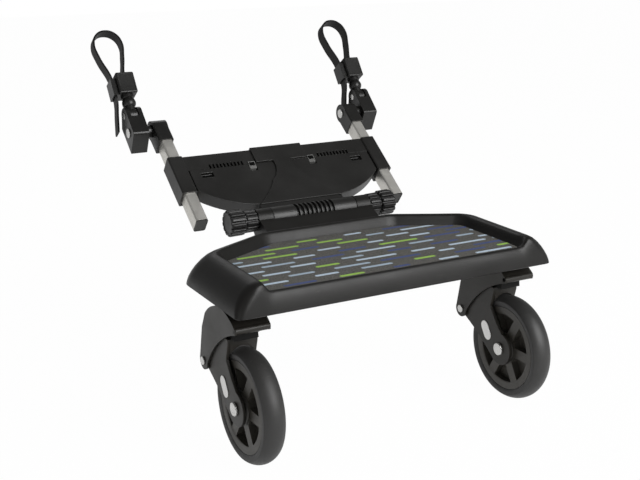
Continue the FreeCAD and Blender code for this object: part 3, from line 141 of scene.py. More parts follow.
def make_floor():
    """A pale floor that takes a faint shadow."""
    bpy.ops.object.select_all(action="DESELECT")
    bpy.ops.mesh.primitive_plane_add(size=FLOOR_SIZE, location=(0, 0, 0))
    plane = bpy.context.object
    plane.name = "floor"
    material, tree, output = empty_material("pale_floor")
    matt = new_node(tree, "ShaderNodeBsdfDiffuse", inputs={"Color": FLOOR_COLOUR})
    white = new_node(tree, "ShaderNodeEmission", inputs={"Color": WHITE, "Strength": 1.0})
    share = calculate(tree, "MULTIPLY", shown_directly(tree), FLOOR_SHOWN_WHITE)
    mix = new_node(tree, "ShaderNodeMixShader", inputs={0: share, 1: matt.outputs[0], 2: white.outputs[0]})
    tree.links.new(mix.outputs[0], output.inputs["Surface"])
    plane.data.materials.append(material)
    return plane


floor = make_floor()
print("floor", floor.dimensions[:])

# %% [markdown]
# The world is the room around the floor. Only the camera sees it white. The object sees a grey room that is
# darker overhead, which keeps the tops of the black pieces black.

# %% World
WORLD_AT_HORIZON = 0.28
WORLD_OVERHEAD = 0.12
WORLD_DIMS_BETWEEN = (0.1, 0.9)


def make_world():
    """Even studio surroundings, darker overhead, that look white to the camera."""
    world = bpy.data.worlds.new("studio")
    bpy.context.scene.world = world
    world.use_nodes = True
    tree = world.node_tree
    tree.nodes.clear()
    output = new_node(tree, "ShaderNodeOutputWorld")
    place = new_node(tree, "ShaderNodeTexCoord")
    height = new_node(tree, "ShaderNodeSeparateXYZ", inputs={0: place.outputs["Generated"]})
    dimming = new_node(tree, "ShaderNodeMapRange", inputs={
        "Value": height.outputs["Z"], "From Min": WORLD_DIMS_BETWEEN[0], "From Max": WORLD_DIMS_BETWEEN[1],
        "To Min": WORLD_AT_HORIZON, "To Max": WORLD_OVERHEAD})
    soft = new_node(tree, "ShaderNodeBackground", inputs={
        "Color": WHITE, "Strength": dimming.outputs["Result"]})
    white = new_node(tree, "ShaderNodeBackground", inputs={"Color": WHITE, "Strength": 1.0})
    path = new_node(tree, "ShaderNodeLightPath")
    mix = new_node(tree, "ShaderNodeMixShader", inputs={
        0: path.outputs["Is Camera Ray"], 1: soft.outputs[0], 2: white.outputs[0]})
    tree.links.new(mix.outputs[0], output.inputs["Surface"])


make_world()
print("world", bpy.context.scene.world.name)

# %% [markdown]
# Black plastic shows its shape only through what it reflects, so the lamps are large panels. The brightest
# stands before the board at the right, where the near wall, the hinge barrel and the tyres mirror it to the
# camera. A weak one at the left fills the sides, and a weak one behind edges the tops of the rims.

# %% Lamps
LAMPS = {
    "front_panel": {"place": (0.7, -1.9, 1.35), "size": 1.5, "power": 54},
    "left_panel": {"place": (-2.0, -1.1, 0.8), "size": 1.0, "power": 2},
    "back_panel": {"place": (0.3, 1.7, 1.5), "size": 1.2, "power": 5},
}
LAMP_AIM = Vector((0, 0, 0.2))

for lamp_name, lamp in LAMPS.items():
    bpy.ops.object.select_all(action="DESELECT")
    aim = LAMP_AIM - Vector(lamp["place"])
    bpy.ops.object.light_add(
        type="AREA", location=lamp["place"], rotation=aim.to_track_quat("-Z", "Y").to_euler())
    panel = bpy.context.object
    panel.name = lamp_name
    panel.data.size = lamp["size"]
    panel.data.energy = lamp["power"]
print("lamps", list(LAMPS))

# %% [markdown]
# Several finishes share the same small faults, so each fault is one node group. Three more helpers make a
# group with named sockets, a noise value, and a range of values mapped to another range.

# %% Helpers for node groups
def new_group(name, inputs, outputs):
    """A shader node group with float inputs (name and default) and outputs (name and socket kind)."""
    tree = bpy.data.node_groups.new(name, "ShaderNodeTree")
    for socket, value in inputs.items():
        made = tree.interface.new_socket(socket, in_out="INPUT", socket_type="NodeSocketFloat")
        made.default_value = value
    for socket, kind in outputs.items():
        tree.interface.new_socket(socket, in_out="OUTPUT", socket_type=kind)
    return tree, new_node(tree, "NodeGroupInput"), new_node(tree, "NodeGroupOutput")


def noise(tree, vector, scale, detail=2.0, roughness=0.5):
    """A noise texture's value."""
    node = new_node(tree, "ShaderNodeTexNoise", inputs={
        "Vector": vector, "Scale": scale, "Detail": detail, "Roughness": roughness})
    return node.outputs["Fac"]


def span(tree, value, low, high, to_low=0.0, to_high=1.0):
    """Map a range of values to another range, and hold it there."""
    node = new_node(tree, "ShaderNodeMapRange", {"clamp": True}, {
        "Value": value, "From Min": low, "From Max": high, "To Min": to_low, "To Max": to_high})
    return node.outputs["Result"]


print("helpers", [helper.__name__ for helper in (new_group, noise, span)])

# %% [markdown]
# Moulded grain is the fine pebbling of a spark-eroded mould, with slow changes of gloss over a hand's
# breadth. Scuffs are the thin pale scratches that shoes and kerbs leave. They are noise that is stretched
# along one axis and swayed, and shown in patches only. Both groups read Object coordinates, so that they
# stay in place on a moving piece.

# %% Grain and scuffs as node groups
CLOUDS_PER_METRE = 16.0
SWAYS_PER_METRE = 9.0
SWAY_REACH = 0.03
SCUFF_PATCHES_PER_METRE = 22.0


def make_grain_group():
    tree, given, result = new_group(
        "moulded_grain", {"Grain": 1400.0, "Roughness": 0.5, "Spread": 0.08},
        {"Height": "NodeSocketFloat", "Roughness": "NodeSocketFloat", "Cloud": "NodeSocketFloat"})
    place = new_node(tree, "ShaderNodeTexCoord").outputs["Object"]
    pebbles = noise(tree, place, given.outputs["Grain"], detail=1.5)
    cloud = noise(tree, place, CLOUDS_PER_METRE, detail=4.0, roughness=0.6)
    swing = span(tree, cloud, 0.3, 0.7, -1.0, 1.0)
    shift = calculate(tree, "MULTIPLY", swing, given.outputs["Spread"])
    tree.links.new(pebbles, result.inputs["Height"])
    tree.links.new(calculate(tree, "ADD", given.outputs["Roughness"], shift), result.inputs["Roughness"])
    tree.links.new(cloud, result.inputs["Cloud"])
    return tree


def make_scuff_group():
    tree, given, result = new_group(
        "scuffs", {"Amount": 0.5, "Length": 10.0, "Fineness": 420.0}, {"Mask": "NodeSocketFloat"})
    place = new_node(tree, "ShaderNodeTexCoord").outputs["Object"]
    bent = new_node(tree, "ShaderNodeTexNoise", inputs={
        "Vector": place, "Scale": SWAYS_PER_METRE, "Detail": 1.0})
    swayed = new_node(tree, "ShaderNodeVectorMath", {"operation": "MULTIPLY_ADD"}, {
        0: bent.outputs["Color"], 1: (SWAY_REACH,) * 3, 2: place})
    squeezed = new_node(tree, "ShaderNodeCombineXYZ", inputs={
        "X": given.outputs["Length"], "Y": given.outputs["Fineness"], "Z": given.outputs["Fineness"]})
    stretched = new_node(tree, "ShaderNodeVectorMath", {"operation": "MULTIPLY"}, {
        0: swayed.outputs["Vector"], 1: squeezed.outputs["Vector"]})
    lines = span(tree, noise(tree, stretched.outputs["Vector"], 1.0, detail=1.0), 0.69, 0.76)
    patches = span(tree, noise(tree, place, SCUFF_PATCHES_PER_METRE, detail=3.0), 0.5, 0.68)
    worn = calculate(tree, "MULTIPLY", lines, patches)
    tree.links.new(calculate(tree, "MULTIPLY", worn, given.outputs["Amount"]), result.inputs["Mask"])
    return tree


GRAIN = make_grain_group()
SCUFFS = make_scuff_group()
print("groups", [group.name for group in bpy.data.node_groups])

# %% [markdown]
# Every moulded piece is the same kind of thing: a dark polymer whose colour drifts a little, with grain in
# the surface and a few scuffs. One function therefore makes all of them, and the values that differ, such
# as the tint, the gloss and the depth of the grain, are written in one table that is easy to compare.

# %% Moulded plastics and rubbers
PLASTICS = {
    # slot: colour, roughness, shine, grain per metre, grain depth in mm, scuffs
    "board_plastic": ((0.0112, 0.0107, 0.0099), 0.4, 0.3, 1500, 0.05, 0.35),
    "arm_plastic": ((0.0115, 0.0111, 0.0102), 0.42, 0.55, 1700, 0.05, 0.3),
    "caster_plastic": ((0.0205, 0.0184, 0.015), 0.42, 0.38, 1500, 0.05, 0.4),
    "wheel_plastic": ((0.054, 0.05, 0.042), 0.44, 0.5, 1300, 0.05, 0.3),
    "tyre": ((0.0265, 0.026, 0.0252), 0.5, 0.5, 900, 0.06, 0.6),
    "knob_plastic": ((0.012, 0.0118, 0.0115), 0.36, 0.45, 1500, 0.04, 0.2),
    "connector_plastic": ((0.0115, 0.0112, 0.0105), 0.36, 0.45, 1600, 0.03, 0.25),
    "plug_plastic": ((0.024, 0.024, 0.022), 0.45, 0.45, 1500, 0.04, 0.2),
    # painted shade: the near-black floor of the sunken faces on the button and the pawl, for the shadow in a
    # deep hole
    "painted_shade_black": ((0.002, 0.002, 0.0019), 0.7, 0.1, 1500, 0.04, 0.0),
    "grey_plastic": ((0.14, 0.14, 0.135), 0.45, 0.5, 1500, 0.03, 0.0),
    "block_rubber": ((0.0055, 0.0053, 0.0049), 0.6, 0.18, 700, 0.08, 0.0),
    "strap_rubber": ((0.006, 0.0059, 0.0056), 0.48, 0.2, 1300, 0.05, 0.2),
    "mat_edge": ((0.3, 0.3, 0.29), 0.7, 0.4, 900, 0.1, 0.0),
}
SCUFF_COLOUR = 3.2
CLOUD_DEPTH = 0.22


def group_node(tree, group, inputs):
    return new_node(tree, "ShaderNodeGroup", {"node_tree": group}, inputs)


def mix_colour(tree, share, first, second):
    """A mix of two colours."""
    node = new_node(tree, "ShaderNodeMix", {"data_type": "RGBA"}, {"Factor": share})
    for socket, colour in ((node.inputs[6], first), (node.inputs[7], second)):
        if isinstance(colour, bpy.types.NodeSocket):
            tree.links.new(colour, socket)
        else:
            socket.default_value = colour
    return node.outputs[2]


def tinted(colour, factor):
    """A colour made lighter or darker, with full alpha."""
    return tuple(min(1.0, channel * factor) for channel in colour) + (1,)


def bumped(tree, height, distance):
    """A normal that follows a height map of some real depth."""
    node = new_node(tree, "ShaderNodeBump", inputs={
        "Strength": 1.0, "Distance": distance, "Height": height})
    return node.outputs["Normal"]


def make_plastic(slot, colour, roughness, shine, grain, depth, scuff):
    material, tree, output = empty_material(slot)
    surface = group_node(tree, GRAIN, {"Grain": grain, "Roughness": roughness})
    marks = group_node(tree, SCUFFS, {"Amount": scuff})
    drift = mix_colour(
        tree, surface.outputs["Cloud"], tinted(colour, 1 - CLOUD_DEPTH), tinted(colour, 1 + CLOUD_DEPTH))
    worn = mix_colour(tree, marks.outputs["Mask"], drift, tinted(colour, SCUFF_COLOUR))
    shader = new_node(tree, "ShaderNodeBsdfPrincipled", inputs={
        "Base Color": worn, "Roughness": surface.outputs["Roughness"], "Specular IOR Level": shine,
        "Normal": bumped(tree, surface.outputs["Height"], depth * MM)})
    tree.links.new(shader.outputs[0], output.inputs["Surface"])
    return material


FINISH = {slot: make_plastic(slot, *values) for slot, values in PLASTICS.items()}
print("plastics", len(FINISH))

# %% [markdown]
# The tubes are drawn and anodised aluminium: fine lines run along the tube, and the surface is satin. The
# lines come from noise that is squeezed across the tube and stretched along it, and because the arm slopes,
# the coordinates are first turned by the arm's angle. Steel pins and heads are turned, with finer marks.

# %% Metals
ARM_SLOPE = math.radians(36.5)
METALS = {
    # slot: colour, roughness, lines across per metre, depth of the lines in mm
    "arm_aluminium": ((0.74, 0.725, 0.68), 0.42, 1500, 0.02),
    "bright_steel": ((0.7, 0.695, 0.68), 0.26, 900, 0.008),
    "silver_insert": ((0.78, 0.775, 0.76), 0.34, 1100, 0.01),
}
LINES_ALONG_PER_METRE = 14.0
DULL_CLOUDS_PER_METRE = 60.0
METAL_SHARE = 0.8


def make_metal(slot, colour, roughness, lines, depth):
    material, tree, output = empty_material(slot)
    place = new_node(tree, "ShaderNodeTexCoord").outputs["Object"]
    level = new_node(tree, "ShaderNodeMapping", {"vector_type": "POINT"}, {
        "Vector": place, "Rotation": (-ARM_SLOPE, 0, 0), "Scale": (lines, LINES_ALONG_PER_METRE, lines)})
    drawn = noise(tree, level.outputs["Vector"], 1.0, detail=2.0)
    cloud = noise(tree, place, DULL_CLOUDS_PER_METRE, detail=4.0, roughness=0.6)
    dulled = span(tree, cloud, 0.35, 0.7, roughness - 0.05, roughness + 0.09)
    tone = mix_colour(tree, drawn, tinted(colour, 0.9), tinted(colour, 1.06))
    shader = new_node(tree, "ShaderNodeBsdfPrincipled", inputs={
        "Base Color": tone, "Metallic": METAL_SHARE, "Roughness": dulled,
        "Normal": bumped(tree, drawn, depth * MM)})
    tree.links.new(shader.outputs[0], output.inputs["Surface"])
    return material


for slot, values in METALS.items():
    FINISH[slot] = make_metal(slot, *values)
print("finishes", len(FINISH))

# %% [markdown]
# The grip mat is a gritty sheet: dark grey with pale and black grains, printed in light blue, dark blue and
# lime. The print here is a plain one of rounded bars in straight rows, each row a step on from the last.
# Each cell of that grid draws one bar as a capsule, and a random number per cell picks its length and its
# colour, so the whole print is a few arithmetic nodes and needs no picture.

# %% Grip mat finish
ROW_PITCH = 0.0135
BAR_PITCH = 0.062
ROW_SHIFT = 0.37
BAR_HALF_WIDTH = 0.0028
BAR_HALF_LENGTHS = (0.008, 0.024)
BAR_EDGE = 0.0005
PRINT_COLOURS = (
    (0.0, (0.58, 0.7, 0.82, 1)),
    (0.36, (0.06, 0.09, 0.24, 1)),
    (0.6, (0.36, 0.62, 0.1, 1)),
    (0.86, (0.44, 0.55, 0.66, 1)),
)
GRIT_PER_METRE = 1250.0
GRIT_DEPTH = 0.35 * MM
GRIT_DARK = (0.034, 0.033, 0.03, 1)
GRIT_PALE = (0.22, 0.215, 0.195, 1)


def make_print_group():
    """Rounded bars in shifted rows: where the print lies, and a random number for each bar's colour."""
    tree, given, result = new_group(
        "rows_of_bars", {"Seed": 3.0}, {"Mask": "NodeSocketFloat", "Pick": "NodeSocketFloat"})
    place = new_node(tree, "ShaderNodeTexCoord").outputs["Object"]
    axes = new_node(tree, "ShaderNodeSeparateXYZ", inputs={0: place})
    row = calculate(tree, "DIVIDE", axes.outputs["Y"], ROW_PITCH)
    row_number = calculate(tree, "FLOOR", row)
    shift = calculate(tree, "MULTIPLY", row_number, ROW_SHIFT)
    spot = calculate(tree, "ADD", calculate(tree, "DIVIDE", axes.outputs["X"], BAR_PITCH), shift)
    cell = new_node(tree, "ShaderNodeCombineXYZ", inputs={
        "X": calculate(tree, "FLOOR", spot), "Y": row_number, "Z": given.outputs["Seed"]})
    chance = new_node(tree, "ShaderNodeTexWhiteNoise", {"noise_dimensions": "3D"}, {
        "Vector": cell.outputs["Vector"]})
    draws = new_node(tree, "ShaderNodeSeparateColor", inputs={0: chance.outputs["Color"]})
    across = calculate(tree, "MULTIPLY", calculate(
        tree, "SUBTRACT", calculate(tree, "FRACT", row), 0.5), ROW_PITCH)
    along = calculate(tree, "MULTIPLY", calculate(
        tree, "SUBTRACT", calculate(tree, "FRACT", spot), 0.5), BAR_PITCH)
    half_length = span(tree, draws.outputs["Red"], 0.0, 1.0, *BAR_HALF_LENGTHS)
    past_end = calculate(tree, "MAXIMUM", calculate(
        tree, "SUBTRACT", calculate(tree, "ABSOLUTE", along), half_length), 0.0)
    from_spine = calculate(tree, "SQRT", calculate(
        tree, "ADD", calculate(tree, "POWER", past_end, 2.0), calculate(tree, "POWER", across, 2.0)))
    mask = span(tree, from_spine, BAR_HALF_WIDTH - BAR_EDGE, BAR_HALF_WIDTH, 1.0, 0.0)
    tree.links.new(mask, result.inputs["Mask"])
    tree.links.new(draws.outputs["Green"], result.inputs["Pick"])
    return tree


def make_mat_finish():
    material, tree, output = empty_material("grip_mat")
    place = new_node(tree, "ShaderNodeTexCoord").outputs["Object"]
    grit = noise(tree, place, GRIT_PER_METRE, detail=2.0, roughness=0.7)
    ground = mix_colour(tree, span(tree, grit, 0.42, 0.66), GRIT_DARK, GRIT_PALE)
    bars = group_node(tree, make_print_group(), {})
    ink = new_node(tree, "ShaderNodeValToRGB", inputs={"Fac": bars.outputs["Pick"]})
    ink.color_ramp.interpolation = "CONSTANT"
    ink.color_ramp.elements[0].color = PRINT_COLOURS[0][1]
    ink.color_ramp.elements[1].position, ink.color_ramp.elements[1].color = PRINT_COLOURS[1]
    for position, colour in PRINT_COLOURS[2:]:
        ink.color_ramp.elements.new(position).color = colour
    covered = calculate(tree, "MULTIPLY", bars.outputs["Mask"], span(tree, grit, 0.36, 0.48, 0.55, 1.0))
    colour = mix_colour(tree, covered, ground, ink.outputs["Color"])
    shader = new_node(tree, "ShaderNodeBsdfPrincipled", inputs={
        "Base Color": colour, "Roughness": span(tree, grit, 0.4, 0.65, 0.92, 0.7),
        "Normal": bumped(tree, grit, GRIT_DEPTH)})
    tree.links.new(shader.outputs[0], output.inputs["Surface"])
    return material


FINISH["grip_mat"] = make_mat_finish()
print("slots without a finish", sorted(set(SLOT_OF.values()) - set(FINISH)))

# %% [markdown]
# The solids of the source have knife-sharp edges, and nothing moulded, cast or turned does. So most solids
# get a copy that stands for them. These helpers make the copy by joining the solid's loose triangles and
# making its flat faces whole again, apply a modifier, even out the shading, and put the copy on its body.

# %% Helpers for pieces
FLAT_WITHIN = math.radians(0.6)
HARD_FROM = math.radians(28)
CURVED_HARD_FROM = math.radians(50)
SMOOTH_BELOW = math.radians(40)
MERGE_WITHIN = 1e-6


def solid_kind(node):
    """A node's name without its side."""
    return node.removesuffix("_left").removesuffix("_right")


def only(piece):
    """Make a piece the only selected one, and the active one."""
    bpy.ops.object.select_all(action="DESELECT")
    piece.select_set(True)
    bpy.context.view_layer.objects.active = piece


def joined_copy(node):
    """A copy of a solid's mesh with its triangles joined and its flat faces made whole."""
    piece = bpy.data.objects.new(f"{node}_rounded", frame["nodes"][node].data.copy())
    bpy.context.scene.collection.objects.link(piece)
    piece.data.materials.clear()
    only(piece)
    bpy.ops.mesh.customdata_custom_splitnormals_clear()
    bpy.ops.object.mode_set(mode="EDIT")
    bpy.ops.mesh.select_all(action="SELECT")
    bpy.ops.mesh.remove_doubles(threshold=MERGE_WITHIN)
    bpy.ops.mesh.dissolve_limited(angle_limit=FLAT_WITHIN)
    bpy.ops.object.mode_set(mode="OBJECT")
    return piece


def apply(piece, kind, **settings):
    """Add a modifier to a piece and apply it."""
    only(piece)
    modifier = piece.modifiers.new(kind.lower(), kind)
    for name, value in settings.items():
        setattr(modifier, name, value)
    bpy.ops.object.modifier_apply(modifier=modifier.name)


def even_shading(piece, angle=SMOOTH_BELOW):
    """Smooth the rounded edges and keep the large faces flat."""
    only(piece)
    bpy.ops.object.shade_smooth_by_angle(angle=angle)
    apply(piece, "WEIGHTED_NORMAL", keep_sharp=True, weight=100)


def stand_for(piece, node, finish=None):
    """Give a piece its finish, and put it in its solid's place on the solid's body."""
    piece.data.materials.append(FINISH[finish or SLOT_OF[node]])
    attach(piece, BODY_OF[node])
    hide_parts(node)


print("kinds of solids", len({solid_kind(node) for node in BODY_OF}))

# %% [markdown]
# Plugs, pawls, buttons and buckles have a sunken face with a narrow border. In edit mode that is an inset
# with some depth on the largest face that looks the right way, and the sunken floor gets its own finish.
# On the button and the pawl that floor is near-black, which is painted shade for the dark inside of a deep
# hole. The directions follow the slope of the arm and the pitch of the buckles.

# %% Sunken faces
FACING = 0.99
DOWN_TUBE = Vector((0, -math.cos(ARM_SLOPE), -math.sin(ARM_SLOPE)))
OUT_OF_ARM = Vector((0, -math.sin(ARM_SLOPE), math.cos(ARM_SLOPE)))
BUCKLE_PITCH = math.radians(54.5)
UP_BUCKLE = Vector((0, math.cos(BUCKLE_PITCH), math.sin(BUCKLE_PITCH)))
INTO_BUCKLE = Vector((0, math.sin(BUCKLE_PITCH), -math.cos(BUCKLE_PITCH)))
DISHES = {
    # kind: direction of the face, border and depth in mm, finish of the sunken floor
    "tube_plug": (DOWN_TUBE, 1.5, 0.8, "plug_plastic"),
    # the near-black floors of the button and the pawl are painted shade, for the shadow inside a deep hole
    "slide_button": (OUT_OF_ARM, 0.45, 0.9, "painted_shade_black"),
    "rack_pawl": (OUT_OF_ARM, 0.8, 0.4, "painted_shade_black"),
    "buckle": (-INTO_BUCKLE, 1.5, 0.4, "connector_plastic"),
}


def dish(piece, direction, border, depth):
    """Sink the middle of the largest face that points in a direction, and set its floor apart."""
    facing = [face for face in piece.data.polygons if face.normal.dot(direction) > FACING]
    largest = max(facing, key=lambda face: face.area).index
    only(piece)
    bpy.ops.object.mode_set(mode="EDIT")
    bpy.ops.mesh.select_mode(type="FACE")
    bpy.ops.mesh.select_all(action="DESELECT")
    bpy.ops.object.mode_set(mode="OBJECT")
    piece.data.polygons[largest].select = True
    bpy.ops.object.mode_set(mode="EDIT")
    bpy.ops.mesh.inset(thickness=border * MM, depth=-depth * MM)
    bpy.ops.object.mode_set(mode="OBJECT")
    for face in piece.data.polygons:
        face.material_index = 1 if face.select else 0


print("sunken faces", list(DISHES))

# %% [markdown]
# Now every hard piece gets its rounded copy. A bevel rounds the edges, as wide as such an edge is on the
# real piece: wide on thick mouldings such as the caster's bracket, narrow on tubes and washers.

# %% Rounded copies of the hard pieces
BEVEL_STEPS = 3
ROUNDING_MM = {
    "hinge_bracket": 1.0, "hinge_washers": 0.2, "centre_body": 0.7, "centre_cover": 0.6,
    "swivel_bolt": 0.5, "swivel_bush": 0.5, "caster_bracket": 2.2, "fork": 0.8, "fork_pin": 0.6,
    "wheel_hub": 0.7, "tyre": 0.8, "axle_bolt": 1.0, "leg_inserts": 0.3,
    "slide_arm": 0.6, "rack_pawl": 0.3, "slide_button": 0.5, "arm_tube": 0.25,
    "tube_plug": 0.4, "tube_cap": 2.2, "link_pin": 0.4, "link_block": 2.6, "knuckle_pin": 0.2,
    "buckle": 1.3,
}


def rounded_copy(node, width):
    piece = joined_copy(node)
    floor_finish_and_shade = None
    if solid_kind(node) in DISHES:
        direction, border, depth, floor_finish_and_shade = DISHES[solid_kind(node)]
        dish(piece, direction, border, depth)
    apply(piece, "BEVEL", width=width, segments=BEVEL_STEPS, limit_method="ANGLE", angle_limit=HARD_FROM,
          use_clamp_overlap=True, miter_outer="MITER_ARC")
    even_shading(piece)
    stand_for(piece, node)
    # on the button and the pawl the sunken floor is painted shade, black for the shadow inside a deep hole
    if floor_finish_and_shade:
        piece.data.materials.append(FINISH[floor_finish_and_shade])
    return piece


for node in BODY_OF:
    if solid_kind(node) in ROUNDING_MM:
        made = rounded_copy(node, ROUNDING_MM[solid_kind(node)] * MM)
        print(made.name, len(made.data.polygons))

# %% [markdown]
# The standing board is the piece that the eye goes to, and its moulding has no flat wall and no sharp line.
# It is drawn the way one would in edit mode: a ring of edges along the foot of the wall, extruded again and
# again, up the bulging wall, over the rolled crest and down into the well. Every ring follows the same
# six-cornered outline with its corners rounded. The rim is missing along the near edge, so there the rings
# stay at the lip's height, and they climb to the rim's height just before the corners.

# %% Rings of the standing board
BOARD_FOOT_MM = 171
BOARD_NEAR_MM = -212
BOARD_HALF_WIDTH_MM = 200
BOARD_SIDE_LENGTH_MM = 140.4
BOARD_FAR_HALF_MM = 92
RIDGE_ACROSS_MM = (159, 170)
RIDGE_ALONG_MM = (8, 20)
CORNER_STEPS = 6
CORNER_EXTRA_MM = (0, 0, 14, 26, 26, 14)
FAR_CORNER_DRAWN_IN = 0.18
SIDE_CORNER_DRAWN_IN = 0.43
SPLITS = {
    # where each straight stretch of a ring is split, as shares of its length
    "near": (0.01, 0.02, 0.03, 0.04, 0.05, 0.06, 0.08, 0.15, 0.3, 0.5, 0.7, 0.85, 0.92, 0.94, 0.95, 0.96,
             0.97, 0.98, 0.99),
    "side": (0.05, 0.1, 0.2, 0.4, 0.7),
    "other": (0.33, 0.67),
}
EDGE_SPLITS = ("near", "side", "other", "other", "other", "side")
TRAY_RINGS_MM = (
    # inset of the sides, rise there, near edge, rise there, far edge, corner radius
    (3.8, 0, 3.8, 0, 186.2, 4),
    (0.7, 0, 0.7, 0, 189.3, 7),
    (0, 0.7, 0, 0.7, 189.6, 8),
    (0.5, 4, 0.3, 3, 188, 9),
    (1.8, 8.5, 0.9, 6.5, 185.7, 10),
    (4.2, 14, 1.8, 10.5, 183, 12),
    (8, 20, 2.9, 14.5, 180, 13),
    (13, 25.6, 4.2, 18.2, 177.2, 13),
    (19, 30.4, 5.6, 20.9, 174.8, 12),
    (24.6, 33.2, 7.1, 22.5, 173.2, 11),
    (29.5, 34, 8.5, 23, 171.8, 10),
    (32.4, 33.4, 9.4, 22.7, 169.6, 9),
    (34.6, 31.4, 10, 21.9, 167.6, 8),
    (36.4, 27.5, 10.4, 20.8, 165.8, 7),
    (38.3, 23.4, 10.5, 20.2, 163.8, 6),
    (39.8, 20.9, 10.6, 19.8, 162.2, 6),
    (41, 19.9, 11.4, 19.6, 161, 6),
    (43, 19.5, 12.5, 19.5, 159, 6),
)


def eased(value, low, high):
    """0 below low, 1 above high, and a soft step between them."""
    share = min(max((value - low) / (high - low), 0), 1)
    return share * share * (3 - 2 * share)


def rounded_corner(before, at, after, radius):
    """Points of the arc that rounds one corner."""
    to_before = (before - at).normalized()
    to_after = (after - at).normalized()
    half = to_before.angle(to_after) / 2
    centre = at + (to_before + to_after).normalized() * (radius / math.sin(half))
    reach = radius / math.tan(half)
    first = at + to_before * reach - centre
    last = at + to_after * reach - centre
    return [centre + first.slerp(last, step / CORNER_STEPS) * radius for step in range(CORNER_STEPS + 1)]


def tray_ring(inset, rise, near, near_rise, far, radius):
    """One ring of the tray, in metres."""
    side = BOARD_HALF_WIDTH_MM - inset
    bend = BOARD_FAR_HALF_MM - FAR_CORNER_DRAWN_IN * inset
    corner = BOARD_SIDE_LENGTH_MM - SIDE_CORNER_DRAWN_IN * inset
    corners = [Vector(place) for place in (
        (-side, near), (side, near), (side, corner), (bend, far), (-bend, far), (-side, corner))]
    arcs = [rounded_corner(corners[index - 1], corners[index], corners[(index + 1) % 6],
                           radius + CORNER_EXTRA_MM[index]) for index in range(6)]
    flat = []
    for index, splits in enumerate(EDGE_SPLITS):
        flat += arcs[index]
        start = arcs[index][-1]
        stop = arcs[(index + 1) % 6][0]
        flat += [start.lerp(stop, share) for share in SPLITS[splits]]
    ring = []
    for place in flat:
        share = max(eased(abs(place.x), *RIDGE_ACROSS_MM), eased(place.y, *RIDGE_ALONG_MM))
        height = BOARD_FOOT_MM + near_rise + (rise - near_rise) * share
        ring.append(Vector((place.x, place.y + BOARD_NEAR_MM, height)) * MM)
    return ring


tray_rings = [tray_ring(*ring) for ring in TRAY_RINGS_MM]
print(len(tray_rings), "rings of", len(tray_rings[0]), "points")

# %% [markdown]
# Drawing a skin from such rings is one and the same job for the board, the knobs and the buckle's necks. A
# circle of edges is laid on the first ring, extruded without moving, and its new points are put on the
# next ring, and so on. A face closes the last ring.

# %% Skins drawn ring by ring
def drawn_by_rings(name, rings):
    """A skin made by extruding a ring of edges from one ring of points to the next, closed by a face."""
    bpy.ops.object.select_all(action="DESELECT")
    bpy.ops.mesh.primitive_circle_add(vertices=len(rings[0]), location=(0, 0, 0))
    piece = bpy.context.object
    piece.name = name
    for vertex, place in zip(piece.data.vertices, rings[0]):
        vertex.co = place
    bpy.ops.object.mode_set(mode="EDIT")
    bpy.ops.mesh.select_mode(type="EDGE")
    bpy.ops.mesh.select_all(action="SELECT")
    for below, above in zip(rings, rings[1:]):
        bpy.ops.mesh.extrude_region_move()
        edit = bmesh.from_edit_mesh(piece.data)
        for vertex in edit.verts:
            if vertex.select:
                nearest = min(range(len(below)), key=lambda index: (below[index] - vertex.co).length)
                vertex.co = above[nearest]
        bmesh.update_edit_mesh(piece.data)
    bpy.ops.mesh.edge_face_add()
    bpy.ops.mesh.select_all(action="SELECT")
    bpy.ops.mesh.normals_make_consistent(inside=False)
    bpy.ops.object.mode_set(mode="OBJECT")
    return piece


print("helper", drawn_by_rings.__name__)

# %% [markdown]
# The skin is open below. The ribbed hollow under the board comes from a copy of its solid, of which all the
# outer walls, the crest and the well are deleted, and the two are joined into one piece.

# %% Standing board
BOSS_PLACE_MM = (172.3, -146)
BOSS_REACH_MM = 16
HOLLOW_TOP_MM = 18
FOOT_BAND_MM = 0.5
SIDE_WALL_FROM_MM = 187
NEAR_WALL_WITHIN_MM = 12
FAR_WALL_FROM_MM = 138
OUTWARD = 0.2
LEVEL = 0.9
BOARD_SMOOTH_BELOW = math.radians(50)


def belongs_underneath(face):
    """Whether a face of the tray's solid is one of the ribbed hollow underneath."""
    centre = face.center / MM
    if centre.z > BOARD_FOOT_MM + HOLLOW_TOP_MM:
        return False
    if math.hypot(abs(centre.x) - BOSS_PLACE_MM[0], centre.y - BOSS_PLACE_MM[1]) < BOSS_REACH_MM:
        return True
    if centre.z < BOARD_FOOT_MM + FOOT_BAND_MM:
        return False
    behind_near = centre.y - BOARD_NEAR_MM
    side_wall = face.normal.x * math.copysign(1, centre.x) > OUTWARD and abs(centre.x) > SIDE_WALL_FROM_MM
    near_wall = face.normal.y < -OUTWARD and behind_near < NEAR_WALL_WITHIN_MM
    far_wall = face.normal.y > OUTWARD and behind_near > FAR_WALL_FROM_MM and abs(face.normal.z) < LEVEL
    return not (side_wall or near_wall or far_wall)


def make_board_tray():
    piece = drawn_by_rings("board_tray_skin", tray_rings)
    under = joined_copy("board_tray")
    bpy.ops.object.mode_set(mode="EDIT")
    bpy.ops.mesh.select_mode(type="FACE")
    bpy.ops.mesh.select_all(action="DESELECT")
    bpy.ops.object.mode_set(mode="OBJECT")
    for face in under.data.polygons:
        face.select = not belongs_underneath(face)
    bpy.ops.object.mode_set(mode="EDIT")
    bpy.ops.mesh.delete(type="FACE")
    bpy.ops.object.mode_set(mode="OBJECT")
    kept = len(under.data.polygons)
    only(piece)
    under.select_set(True)
    bpy.ops.object.join()
    even_shading(piece, BOARD_SMOOTH_BELOW)
    stand_for(piece, "board_tray")
    print(piece.name, len(piece.data.polygons), "faces, of which", kept, "underneath")


make_board_tray()

